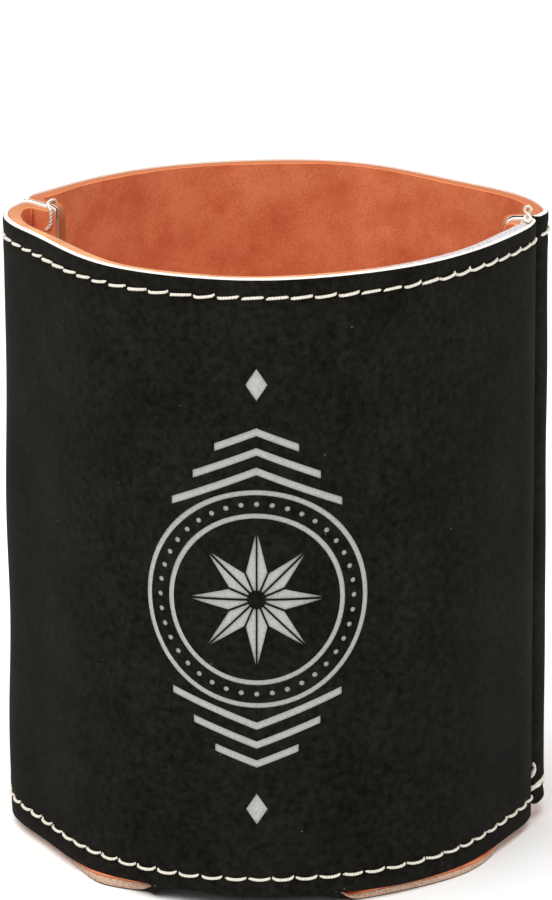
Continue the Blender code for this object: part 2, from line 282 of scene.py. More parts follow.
def makeLeather():
    material, nodes, links, shader = startMaterial("blackLeatherette")
    place = objectCoordinates(nodes)
    patch = addNoise(nodes, links, place, leather["patchScale"], 4.0, 0.6)
    mottle = addNoise(nodes, links, place, leather["mottleScale"], 4.0, 0.65)
    nap = addNoise(nodes, links, place, leather["napScale"], 2.0, 0.6)
    cells = nodes.new("ShaderNodeTexVoronoi")
    cells.feature = "SMOOTH_F1"
    cells.inputs["Scale"].default_value = leather["grainScale"]
    links.new(place, cells.inputs["Vector"])
    softPatch = addMath(nodes, links, "MULTIPLY", patch, leather["patchShare"])
    softPatch = addMath(nodes, links, "ADD", softPatch, leather["patchBase"])
    uneven = addMath(nodes, links, "MULTIPLY", softPatch, mottle)
    colour = addRamp(nodes, links, uneven, *leather["toneRange"], leather["dark"], leather["pale"])
    dust = nodes.new("ShaderNodeTexVoronoi")
    dust.inputs["Scale"].default_value = leather["fleckScale"]
    links.new(place, dust.inputs["Vector"])
    isFleck = addMath(nodes, links, "LESS_THAN", dust.outputs["Distance"], leather["fleckSize"])
    colour = addMix(nodes, links, isFleck, colour, leather["fleck"])
    links.new(colour, shader.inputs["Base Color"])
    rough = nodes.new("ShaderNodeMapRange")
    rough.inputs["From Min"].default_value = 0.3
    rough.inputs["From Max"].default_value = 0.7
    rough.inputs["To Min"].default_value = leather["roughness"] - leather["smoother"]
    rough.inputs["To Max"].default_value = leather["roughness"] + leather["rougher"]
    links.new(mottle, rough.inputs["Value"])
    links.new(rough.outputs["Result"], shader.inputs["Roughness"])
    shader.inputs["Specular IOR Level"].default_value = leather["specular"]
    shader.inputs["Sheen Weight"].default_value = leather["sheen"]
    shader.inputs["Sheen Roughness"].default_value = 0.5
    shader.inputs["Sheen Tint"].default_value = (0.9, 0.88, 0.84, 1.0)
    addBump(nodes, links, shader, [
        (mottle, 0.00010, 0.5),
        (cells.outputs["Distance"], 0.00006, 0.35),
        (nap, 0.00003, 0.4),
    ])
    return material


def makeBacking(name, sizes):
    material, nodes, links, shader = startMaterial(name)
    place = objectCoordinates(nodes)
    fibre = addNoise(nodes, links, place, sizes["fibreScale"], 4.0, 0.7)
    colour = addRamp(nodes, links, fibre, 0.32, 0.58, sizes["shade"], sizes["white"])
    links.new(colour, shader.inputs["Base Color"])
    shader.inputs["Roughness"].default_value = 0.85
    shader.inputs["Specular IOR Level"].default_value = 0.2
    addBump(nodes, links, shader, [(fibre, 0.00008, 0.6)])
    return material


def makeFabric(name, bright, deep, paintedGrey=None):
    material, nodes, links, shader = startMaterial(name)
    place = objectCoordinates(nodes)
    cloud = addNoise(nodes, links, place, fabric["cloudScale"], 3.0, 0.6)
    nap = addNoise(nodes, links, place, fabric["napScale"], 3.0, 0.7)
    both = addMath(nodes, links, "MULTIPLY", cloud, nap)
    colour = addRamp(nodes, links, both, 0.14, 0.34, deep, bright)
    # the rim's cut edge takes a painted grey of shade and reflection towards the right seam
    if paintedGrey:
        colour = addWornRim(nodes, links, place, nap, colour, paintedGrey)
    links.new(colour, shader.inputs["Base Color"])
    shader.inputs["Roughness"].default_value = 0.82
    shader.inputs["Specular IOR Level"].default_value = 0.2
    shader.inputs["Sheen Weight"].default_value = 0.12
    shader.inputs["Sheen Tint"].default_value = (1.0, 0.72, 0.55, 1.0)
    addBump(nodes, links, shader, [(cloud, 0.0006, 0.25), (nap, 0.00006, 0.5)])
    return material


def addWornRim(nodes, links, place, nap, colour, paintedGrey):
    # the front rim is painted greyer towards the right seam: painted shade and reflection
    split = nodes.new("ShaderNodeSeparateXYZ")
    links.new(place, split.inputs["Vector"])
    across = nodes.new("ShaderNodeMapRange")
    across.interpolation_type = "SMOOTHSTEP"
    across.inputs["From Min"].default_value = paintedGrey["paintedGreyFrom"][0]
    across.inputs["From Max"].default_value = paintedGrey["paintedGreyFrom"][1]
    links.new(split.outputs["X"], across.inputs["Value"])
    inFront = addMath(nodes, links, "LESS_THAN", split.outputs["Y"], paintedGrey["paintedGreyInFront"])
    atRim = addMath(nodes, links, "GREATER_THAN", split.outputs["Z"], paintedGrey["paintedGreyAbove"])
    share = addMath(nodes, links, "MULTIPLY", across.outputs["Result"], inFront)
    share = addMath(nodes, links, "MULTIPLY", share, atRim)
    seam = paintedGrey["seamAngle"]
    sideX = addMath(nodes, links, "MULTIPLY", split.outputs["X"], -math.sin(seam))
    sideY = addMath(nodes, links, "MULTIPLY", split.outputs["Y"], math.cos(seam))
    sideways = addMath(nodes, links, "ADD", sideX, sideY)
    byWall = addMath(nodes, links, "LESS_THAN", sideways, paintedGrey["paintedGreyBeside"][0])
    atCorner = addMath(nodes, links, "GREATER_THAN", split.outputs["X"], paintedGrey["paintedGreyBeside"][1])
    onWall = addMath(nodes, links, "MAXIMUM", byWall, atCorner)
    share = addMath(nodes, links, "MULTIPLY", share, onWall)
    grey = addRamp(nodes, links, nap, *paintedGrey["paintedGreyRange"], paintedGrey["paintedGreyDeep"], paintedGrey["paintedGrey"])
    behind = nodes.new("ShaderNodeMapRange")
    behind.inputs["From Min"].default_value = paintedGrey["rearFrom"][0]
    behind.inputs["From Max"].default_value = paintedGrey["rearFrom"][1]
    links.new(split.outputs["Y"], behind.inputs["Value"])
    colour = addMix(nodes, links, behind.outputs["Result"], colour, paintedGrey["rear"])
    return addMix(nodes, links, share, colour, grey)


def makeCotton():
    material, nodes, links, shader = startMaterial("creamThread")
    place = objectCoordinates(nodes)
    fibre = addNoise(nodes, links, place, cotton["fibreScale"], 3.0, 0.7)
    colour = addRamp(nodes, links, fibre, 0.3, 0.6, cotton["dull"], cotton["pale"])
    links.new(colour, shader.inputs["Base Color"])
    shader.inputs["Roughness"].default_value = 0.6
    shader.inputs["Specular IOR Level"].default_value = 0.35
    addBump(nodes, links, shader, [(fibre, 0.00004, 0.5)])
    return material


def makeEngraved():
    material, nodes, links, shader = startMaterial("engravedSilver")
    place = objectCoordinates(nodes)
    split = nodes.new("ShaderNodeSeparateXYZ")
    links.new(place, split.inputs["Vector"])
    turns = addMath(nodes, links, "MULTIPLY", split.outputs["Z"], 2 * math.pi / engraved["linePitch"])
    lines = addMath(nodes, links, "SINE", turns)
    noise = addNoise(nodes, links, place, 2400.0, 4.0, 0.7)
    colour = addRamp(nodes, links, noise, 0.3, 0.62, engraved["dull"], engraved["silver"])
    links.new(colour, shader.inputs["Base Color"])
    shader.inputs["Roughness"].default_value = 0.55
    shader.inputs["Metallic"].default_value = 0.0
    shader.inputs["Specular IOR Level"].default_value = 0.4
    addBump(nodes, links, shader, [(noise, 0.00006, 0.4), (lines, 0.00001, 0.5)])
    return material


blackLeatherette = makeLeather()
creamBacking = makeBacking("creamBacking", backing)
pinkBacking = makeBacking("pinkBacking", baseBacking)
orangeLining = makeFabric("orangeLining", fabric["bright"], fabric["deep"])
cutLining = makeFabric("liningCutEdge", liningEdge["bright"], liningEdge["deep"], liningEdge)
creamThread = makeCotton()
engravedSilver = makeEngraved()
print("materials")


# Plan of the wall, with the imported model's sizes; only the seam allowances are longer here

plan = {
    "pocketRadius": 0.0356,
    "rightReach": 0.0051,
    "rightAngle": math.radians(16.0),
    "rightSpreads": (math.radians(21.0), math.radians(26.0)),
    "leftReach": 0.0047,
    "leftAngle": math.radians(186.5),
    "leftSpreads": (math.radians(17.0), math.radians(28.5)),
    "fullness": 0.0019,
    "fullnessAngle": math.radians(-115.5),
    "fullnessSpread": math.radians(40.0),
    "seamSetBack": math.radians(5.3),
    "tuck": 0.0017,
    "tuckSpreads": (math.radians(6.0), math.radians(4.0)),
    "slit": 0.0004,
    "allowances": {"right": 0.0048, "left": 0.0060},
    "foldRadius": 0.0016,
    "smallestFold": 0.0003,
}

rightSeam = plan["seamSetBack"]
leftSeam = math.pi - plan["seamSetBack"]


def turnBetween(angle, centre):
    return (angle - centre + math.pi) % (2 * math.pi) - math.pi


def bell(turn, spreads):
    return np.exp(-((turn / np.where(turn < 0, spreads[0], spreads[1])) ** 2))


def wallRadius(angle):
    angle = np.asarray(angle, float)
    spread = (plan["fullnessSpread"],) * 2
    radius = plan["pocketRadius"] + 0.0 * angle
    radius += plan["rightReach"] * bell(turnBetween(angle, plan["rightAngle"]), plan["rightSpreads"])
    radius += plan["leftReach"] * bell(-turnBetween(angle, plan["leftAngle"]), plan["leftSpreads"])
    radius += plan["fullness"] * bell(turnBetween(angle, plan["fullnessAngle"]), spread)
    radius -= plan["tuck"] * bell(turnBetween(angle, rightSeam), plan["tuckSpreads"])
    radius -= plan["tuck"] * bell(-turnBetween(angle, leftSeam), plan["tuckSpreads"])
    return radius


def wallPoint(angle, depth=0.0):
    # in plan, at a depth below the outer face along the wall's own normal
    angle = np.asarray(angle, float)
    small = math.radians(0.05)
    radius = wallRadius(angle)
    slope = (wallRadius(angle + small) - wallRadius(angle - small)) / (2 * small)
    outwards = np.stack([np.cos(angle), np.sin(angle)], -1)
    along = np.stack([-np.sin(angle), np.cos(angle)], -1)
    normal = outwards * radius[..., None] - along * slope[..., None]
    normal /= np.linalg.norm(normal, axis=-1)[..., None]
    return outwards * radius[..., None] - normal * np.asarray(depth)[..., None]


def seamAxes(seamAngle):
    outwards = np.array((math.cos(seamAngle), math.sin(seamAngle)))
    return outwards, np.array((-math.sin(seamAngle), math.cos(seamAngle)))


def angleAtDistance(seamAngle, direction, depth, distance):
    # where the wall at this depth lies this far from the seam's middle plane
    across = seamAxes(seamAngle)[1]
    near, far = 0.0, math.radians(40.0)
    for _ in range(40):
        middle = (near + far) / 2
        if wallPoint(seamAngle + direction * middle, depth) @ across * direction < distance:
            near = middle
        else:
            far = middle
    return seamAngle + direction * far


def seamEnd(seamAngle, direction, depth):
    outwards, across = seamAxes(seamAngle)
    face = plan["slit"] / 2 + depth
    radius = max(plan["foldRadius"] - depth, plan["smallestFold"])
    corner = wallPoint(angleAtDistance(seamAngle, direction, depth, face), depth)
    wallAngle = angleAtDistance(seamAngle, direction, depth, face + radius)
    reach = plan["allowances"]["right" if math.cos(seamAngle) > 0 else "left"]
    cutEdge = outwards * (wallRadius(seamAngle) - reach) + across * direction * face
    return cutEdge, corner - outwards * radius, corner, wallPoint(wallAngle, depth), wallAngle


def panelSeams(side):
    if side == "front":
        return leftSeam - 2 * math.pi, rightSeam
    return rightSeam, leftSeam


def cumulative(points):
    steps = np.linalg.norm(np.diff(points, axis=0), axis=1)
    return np.concatenate([[0.0], np.cumsum(steps)])


class Panel:
    # The columns of one panel, from one cut edge round the wall to the other. along is each
    # column's distance on the outer face from the panel's middle.
    def __init__(self, side, wallCount, foldCount, allowanceCount):
        self.side = side
        self.start, self.end = panelSeams(side)
        self.middleAngle = -math.pi / 2 if side == "front" else math.pi / 2
        self.fineAngles = np.linspace(self.start, self.end, 6001)
        self.fineAlong = cumulative(wallPoint(self.fineAngles))
        self.fineAlong -= np.interp(self.middleAngle, self.fineAngles, self.fineAlong)
        self.allowanceShares = np.linspace(0, 1, allowanceCount, endpoint=False)
        self.foldShares = np.linspace(0, 1, foldCount, endpoint=False)
        self.first = seamEnd(self.start, 1, 0.0)
        self.last = seamEnd(self.end, -1, 0.0)
        self.wallStart = self.alongAt(self.first[4])
        self.wallEnd = self.alongAt(self.last[4])
        wallAlong = np.linspace(self.wallStart, self.wallEnd, wallCount + 1)
        self.wallAngles = self.angleAt(wallAlong)
        outer = self.plan(0.0)
        along = cumulative(outer)
        lead = allowanceCount + foldCount
        self.along = along - along[lead] + self.wallStart
        self.along[lead:lead + wallCount + 1] = wallAlong
        tail = along[lead + wallCount:] - along[lead + wallCount]
        self.along[lead + wallCount:] = self.wallEnd + tail
        self.lead = lead
        self.wallCount = wallCount
        self.foldStart = self.along[allowanceCount]
        self.foldEnd = self.along[-1 - allowanceCount]

    def alongAt(self, angle):
        return float(np.interp(angle, self.fineAngles, self.fineAlong))

    def angleAt(self, along):
        return np.interp(along, self.fineAlong, self.fineAngles)

    def turnedIn(self, seamAngle, direction, depth):
        cutEdge, foldStart, corner, wallStart, wallAngle = seamEnd(seamAngle, direction, depth)
        t = self.allowanceShares[:, None]
        allowance = cutEdge * (1 - t) + foldStart * t
        t = self.foldShares[:, None]
        fold = foldStart * (1 - t) ** 2 + corner * 2 * t * (1 - t) + wallStart * t**2
        return np.concatenate([allowance, fold]), wallAngle

    def plan(self, depth):
        first, firstAngle = self.turnedIn(self.start, 1, depth)
        last, lastAngle = self.turnedIn(self.end, -1, depth)
        shares = (self.wallAngles - self.first[4]) / (self.last[4] - self.first[4])
        wall = wallPoint(firstAngle + (lastAngle - firstAngle) * shares, depth)
        return np.concatenate([first, wall, last[::-1]])

    def pointAt(self, along, depth=0.0):
        # on the wall, away from the folds
        return wallPoint(self.angleAt(along), depth)


# Sheets: an outer face and an inner one, closed all round by a rounded cut edge

def smoothStep(low, high, value):
    t = np.clip((np.asarray(value, float) - low) / (high - low), 0, 1)
    return t * t * (3 - 2 * t)


def softWaves(u, v, seed, length, waves=7):
    random = np.random.default_rng(seed)
    total = 0.0
    for _ in range(waves):
        angle = random.uniform(0, 2 * math.pi)
        size = length * random.uniform(0.7, 1.7)
        phase = random.uniform(0, 2 * math.pi)
        total = total + np.sin((u * math.cos(angle) + v * math.sin(angle)) * 2 * math.pi / size + phase)
    return total / math.sqrt(waves)


def boundaryOf(faces):
    edges = {}
    for face in faces:
        for a, b in zip(face, face[1:] + face[:1]):
            edges[(a, b)] = True
    return [(a, b) for a, b in edges if (b, a) not in edges]


def sheetMesh(name, sheet, materials):
    # sheet: outer and inner (n, 3) points, faces of the outer side counterclockwise from outside,
    # paint (a material number for each face), sameInside (the point that stands for each one on
    # the inner side), bulge (metres, for each point), profile [(share, bulge share)],
    # edgePaint (a material number for each strip of the edge), innerPaint, darker (points where
    # the edge takes darkPaint instead), hidden (points where the edge is wholly in paint 0)
    outer, inner, faces = sheet["outer"], sheet["inner"], sheet["faces"]
    count = len(outer)
    same = sheet.get("sameInside", np.arange(count))
    bulge = sheet["bulge"]
    profile = sheet["profile"]
    points = [outer, inner]
    made = [list(face) for face in faces]
    paint = list(sheet["paint"])
    for face in faces:
        mapped = [int(same[i]) + count for i in reversed(face)]
        if len(set(mapped)) == len(mapped):
            made.append(mapped)
            paint.append(sheet["innerPaint"])
    border = boundaryOf([list(face) for face in faces])
    normals = np.zeros((count, 3))
    for face in faces:
        a, b, c = outer[face[0]], outer[face[1]], outer[face[2]]
        turn = np.cross(b - a, c - a)
        for i in face:
            normals[i] += turn
    normals /= np.maximum(np.linalg.norm(normals, axis=1), 1e-12)[:, None]
    outwards = np.zeros((count, 3))
    for a, b in border:
        step = outer[b] - outer[a]
        push = np.cross(step / max(np.linalg.norm(step), 1e-12), normals[a] + normals[b])
        outwards[a] += push
        outwards[b] += push
    lengths = np.linalg.norm(outwards, axis=1)
    outwards /= np.maximum(lengths, 1e-9)[:, None]
    outwards[lengths < 0.5] = 0.0
    edgePoints = sorted({i for pair in border for i in pair})
    random = np.random.default_rng(sheet.get("seed", 3))
    numbers = {i: [i] for i in edgePoints}
    total = 2 * count
    extra = []
    for share, rise in profile:
        for i in edgePoints:
            place = outer[i] * (1 - share) + inner[i] * share
            fuzz = 1.0 + random.uniform(-1, 1) * sheet.get("fuzz", 0.12)
            extra.append(place + outwards[i] * bulge[i] * rise * fuzz)
            numbers[i].append(total)
            total += 1
    for i in edgePoints:
        numbers[i].append(int(same[i]) + count)
    darker = sheet.get("darker", np.zeros(count, bool))
    hidden = sheet.get("hidden", np.zeros(count, bool))
    for a, b in border:
        colours = sheet["darkPaint"] if darker[a] and darker[b] else sheet["edgePaint"]
        if hidden[a] and hidden[b]:
            colours = [0] * len(colours)
        for level, colour in enumerate(colours):
            here, there = numbers[a], numbers[b]
            made.append([there[level], here[level], here[level + 1], there[level + 1]])
            paint.append(colour)
    allPoints = np.concatenate(points + ([np.array(extra)] if extra else []))
    used = np.zeros(len(allPoints), bool)
    for face in made:
        used[face] = True
    place = np.cumsum(used) - 1
    mesh = bpy.data.meshes.new(name)
    mesh.from_pydata(allPoints[used].tolist(), [], [[int(place[i]) for i in face] for face in made])
    for material in materials:
        mesh.materials.append(material)
    mesh.polygons.foreach_set("material_index", np.array(paint, np.int32))
    mesh.shade_smooth()
    mesh.set_sharp_from_angle(angle=math.radians(sheet.get("sharp", 48.0)))
    obj = bpy.data.objects.new(name, mesh)
    bpy.context.scene.collection.objects.link(obj)
    return obj


# How the soft sleeve has settled: slow leans of the wall, and seam allowances turned aside

settling = {
    "leans": [                    # angle, spread, shift outwards at the bottom and at the rim
        (math.radians(-37.0), math.radians(24.0), 0.00055, -0.00075),
        (math.radians(16.0), math.radians(12.0), 0.00020, -0.00025),
        (math.radians(48.0), math.radians(26.0), 0.0, -0.00120),
        (rightSeam, math.radians(6.5), 0.00125, 0.00090),
        (leftSeam, math.radians(8.0), 0.00120, 0.00125),
        (math.radians(198.0), math.radians(12.0), 0.0, -0.00030),
    ],
    "leanReach": (0.020, 0.033),
    "turns": [                    # seam, sideways shift, and how far in it starts and ends
        (leftSeam, 0.0024, 0.0008, 0.0052),
        (rightSeam, -0.0009, 0.0030, 0.0052),
    ],
    "turnWidth": 0.0062,
    "turnDepth": 0.012,           # nothing further in than this turns
    "turnHeights": (0.0032, 0.0075),
    "foldRise": 0.00112,          # of the front neck's fold over the floor
    "foldRiseMore": (-0.0078, 0.0045, 0.00058),   # where, how wide, how much more
    "foldSpan": ((-0.0137, -0.0116), (0.0105, 0.0150)),
    "foldReach": (0.0270, 0.0345),
    "foldTop": 0.0030,
}


def foldRise(points):
    x = points[:, 0]
    middle, spread, more = settling["foldRiseMore"]
    (a, b), (c, d) = settling["foldSpan"]
    rise = settling["foldRise"] + more * np.exp(-(((x - middle) / spread) ** 2))
    rise = rise * smoothStep(a, b, x) * (1 - smoothStep(c, d, x)) * (points[:, 1] < 0)
    rise = rise * smoothStep(*settling["foldReach"], np.hypot(x, points[:, 1]))
    return rise * np.clip(1 - points[:, 2] / settling["foldTop"], 0, 1)


def settled(points):
    points = np.array(points, float)
    flat = points[:, :2].copy()
    radius = np.hypot(flat[:, 0], flat[:, 1])
    angle = np.arctan2(flat[:, 1], flat[:, 0])
    up = np.clip(points[:, 2] / cover["height"], 0, 1)
    lean = 0.0
    for centre, spread, atBottom, atRim in settling["leans"]:
        near = np.exp(-((turnBetween(angle, centre) / spread) ** 2))
        lean = lean + (atBottom + (atRim - atBottom) * up) * near
    lean *= smoothStep(*settling["leanReach"], radius)
    moved = flat + np.stack([np.cos(angle), np.sin(angle)], -1) * lean[:, None]
    for seam, shift, near, far in settling["turns"]:
        outwards, across = seamAxes(seam)
        depth = float(wallRadius(seam)) - flat @ outwards
        beside = np.exp(-((flat @ across / settling["turnWidth"]) ** 4))
        inside = smoothStep(near, far, depth) * (depth < settling["turnDepth"])
        above = smoothStep(*settling["turnHeights"], points[:, 2])
        moved += across * (shift * inside * beside * above)[:, None]
    points[:, 2] += foldRise(points)
    points[:, :2] = moved
    return points


def finishPiece(obj, slotName, *nodes):
    mesh = obj.data
    points = np.empty(len(mesh.vertices) * 3)
    mesh.vertices.foreach_get("co", points)
    mesh.vertices.foreach_set("co", settled(points.reshape(-1, 3)).ravel())
    mesh.update()
    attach(obj, "root")
    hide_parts(*nodes)


# Cover panels

cover = {
    "height": 0.09525,
    "thickness": 0.00068,
    "turnedThickness": 0.00052,   # where the panel is folded in at a seam
    "thinThickness": 0.00048,     # of the front panel near the right seam
    "thinFrom": (0.020, 0.048),   # along the front panel
    "lift": 0.00145,
    "blackTop": 0.00030,          # the black face ends this far below the rim
    "turnedBlackTop": 0.00004,
    "innerTop": 0.00008,
    "rimBulge": 0.00017,
    "edgeBulge": 0.00010,
    "cornerRadius": 0.0030,
    "endRadii": {"right": 0.0011, "left": 0.0005},   # of the rim at the allowances' inner ends
    "backLift": (0.0070, 0.0075, 0.0015),   # the back panel's edge stands higher near the right seam
    "cornerReach": 0.0120,
    "rimWave": 0.00010,
    "undulation": 0.00011,
    "undulationLength": 0.026,
    "wallCount": 304,
    "foldCount": 9,
    "allowanceCount": 6,
}

neck = {
    "halfWidth": 0.0134,
    "radius": 0.0018,
    "split": 0.0022,              # the panel's free edge and the neck part at this height
    "end": 0.0026,                # depth at which the neck meets the base
    "thickness": 0.00095,
    "arcSteps": 8,
    "edgeRise": {"left": 0.00062, "right": 0.00034},
    "riseFrom": (-0.0004, 0.0010),   # past the neck's side, where the edge starts to rise
    "riseReach": 0.0080,
    "darkEnds": 0.0028,
}

stitching = {
    "topHeight": 0.09235,
    "bottomHeight": 0.0045,
    "pitch": 0.0035,
    "phases": {                   # where the needle's holes lie, from the panel's middle
        ("front", "top"): -0.00005,
        ("front", "bottom"): 0.0008,
        ("back", "top"): 0.0004,
        ("back", "bottom"): 0.0011,
    },
    "before": {                   # how far a row starts inside the first seam
        ("front", "top"): 0.0,
        ("front", "bottom"): 0.0,
        ("back", "top"): 0.0012,
        ("back", "bottom"): -0.0052,
    },
    "channelDepth": 0.00013,
    "channelWidth": 0.00085,
    "holeDepth": 0.00014,
    "holeLength": 0.00050,
    "holeHeight": 0.00042,
    "lipHeight": 0.00005,
    "lipDistance": 0.0016,
    "lipWidth": 0.0009,
}


def rowHeights(split, top):
    # rows of a panel's outer face, close together round the two lines of stitches
    low, high = stitching["bottomHeight"], stitching["topHeight"]
    close, reach = 0.00022, 0.0015
    parts = [
        np.linspace(split, low - reach, 4, endpoint=False),
        np.arange(low - reach, low + reach, close),
        np.linspace(low + reach, low + reach + 0.0024, 5, endpoint=False),
        np.linspace(low + reach + 0.0024, high - reach - 0.0024, 50, endpoint=False),
        np.linspace(high - reach - 0.0024, high - reach, 5, endpoint=False),
        np.arange(high - reach, high + reach, close),
        np.linspace(high + reach, top, 5),
    ]
    return np.concatenate(parts)


def holesOf(side, row, panel):
    pitch, phase = stitching["pitch"], stitching["phases"][(side, row)]
    first = math.ceil((panel.foldStart - stitching["before"][(side, row)] - phase) / pitch)
    last = math.floor((panel.foldEnd - phase) / pitch)
    return phase + pitch * np.arange(first, last + 1)


def coverDent(side, panel, along, height):
    # how deep the outer face lies below its plan: stitch channels, needle holes and soft waves
    pitch = stitching["pitch"]
    dent = np.zeros_like(along)
    for row in ("top", "bottom"):
        middle = stitching[row + "Height"]
        away = height - middle
        phase = stitching["phases"][(side, row)]
        fromHole = (along - phase + pitch / 2) % pitch - pitch / 2
        dent += stitching["channelDepth"] * np.exp(-((away / stitching["channelWidth"]) ** 2))
        dent += stitching["holeDepth"] * np.exp(
            -((away / stitching["holeHeight"]) ** 2) - (fromHole / stitching["holeLength"]) ** 2
        )
        beside = (np.abs(away) - stitching["lipDistance"]) / stitching["lipWidth"]
        dent -= stitching["lipHeight"] * np.exp(-(beside**2))
    waves = softWaves(along, height, 11 if side == "front" else 12, cover["undulationLength"])
    inside = smoothStep(0.0, 0.006, np.minimum(along - panel.wallStart, panel.wallEnd - along))
    dent += cover["undulation"] * waves * inside
    onWall = smoothStep(-0.0008, 0.0004, np.minimum(along - panel.wallStart, panel.wallEnd - along))
    return dent * onWall


def cornerLift(panel, along):
    near = np.minimum(along - panel.foldStart, panel.foldEnd - along)
    inside = np.clip(cover["cornerRadius"] - np.maximum(near, 0.0), 0.0, cover["cornerRadius"])
    return cover["cornerRadius"] - np.sqrt(cover["cornerRadius"] ** 2 - inside**2)


def neckLift(panel, along):
    # the free edge rises a little where it parts from the neck
    gap = np.abs(panel.pointAt(along)[..., 0]) - neck["halfWidth"]
    amount = np.where(along < 0, neck["edgeRise"]["left"], neck["edgeRise"]["right"])
    fading = np.exp(-((np.maximum(gap, 0) / neck["riseReach"]) ** 2))
    return amount * smoothStep(*neck["riseFrom"], gap) * fading


def allowanceDrop(panel, along):
    # the rim falls away round the allowances' inner ends
    ends = ("left", "right") if panel.side == "front" else ("right", "left")
    drop = 0.0
    for name, near in zip(ends, (along - panel.along[0], panel.along[-1] - along)):
        reach = cover["endRadii"][name]
        inside = np.clip(reach - near, 0.0, reach)
        drop = drop + reach - np.sqrt(reach**2 - inside**2)
    return drop


def liftedHeight(panel, along, height):
    # rows near the bottom crowd together over the rounded corners
    lift = cornerLift(panel, along) + neckLift(panel, along)
    if panel.side == "back":
        middle, spread, amount = cover["backLift"]
        lift = lift + amount * np.exp(-(((along - panel.foldStart - middle) / spread) ** 2))
    low, high = cover["lift"], cover["cornerReach"]
    squeezed = low + lift + (height - low) * (high - low - lift) / (high - low)
    return np.where(height < high, squeezed, height)


def rimShift(panel, along, height):
    wave = softWaves(along, 0.0 * along, 21 if panel.side == "front" else 22, 0.030, 4)
    nearRim = smoothStep(cover["height"] - 0.010, cover["height"], height)
    drop = allowanceDrop(panel, along) * smoothStep(cover["height"] - 0.0040, cover["height"], height)
    return cover["rimWave"] * wave * nearRim - drop


def onWallShare(panel, along):
    # 1 on the wall, 0 where the panel is folded in at a seam
    near = np.minimum(along - panel.foldStart, panel.foldEnd - along)
    return smoothStep(0.0004, 0.0024, near)


def blend(low, high, share):
    return low + (high - low) * share


def coverInside(panel, gap):
    # the plan of the cover's inner face, or of a face this far inside it
    onWall = onWallShare(panel, panel.along)[:, None]
    wall = panel.plan(cover["thickness"] + gap)
    if panel.side == "front":
        thin = smoothStep(*cover["thinFrom"], panel.along)[:, None]
        wall = blend(wall, panel.plan(cover["thinThickness"] + gap), thin)
    return blend(panel.plan(cover["turnedThickness"] + gap), wall, onWall)


def neckCurl(turn, layer):
    # depth and height of a layer of the neck's bend, from flat on the floor to upright
    radius = neck["radius"]
    return radius - (radius - layer) * math.cos(turn), radius - (radius - layer) * math.sin(turn)


def neckTurns():
    # from upright down to the floor
    return [math.pi / 2 * step / neck["arcSteps"] for step in range(neck["arcSteps"] + 1)]


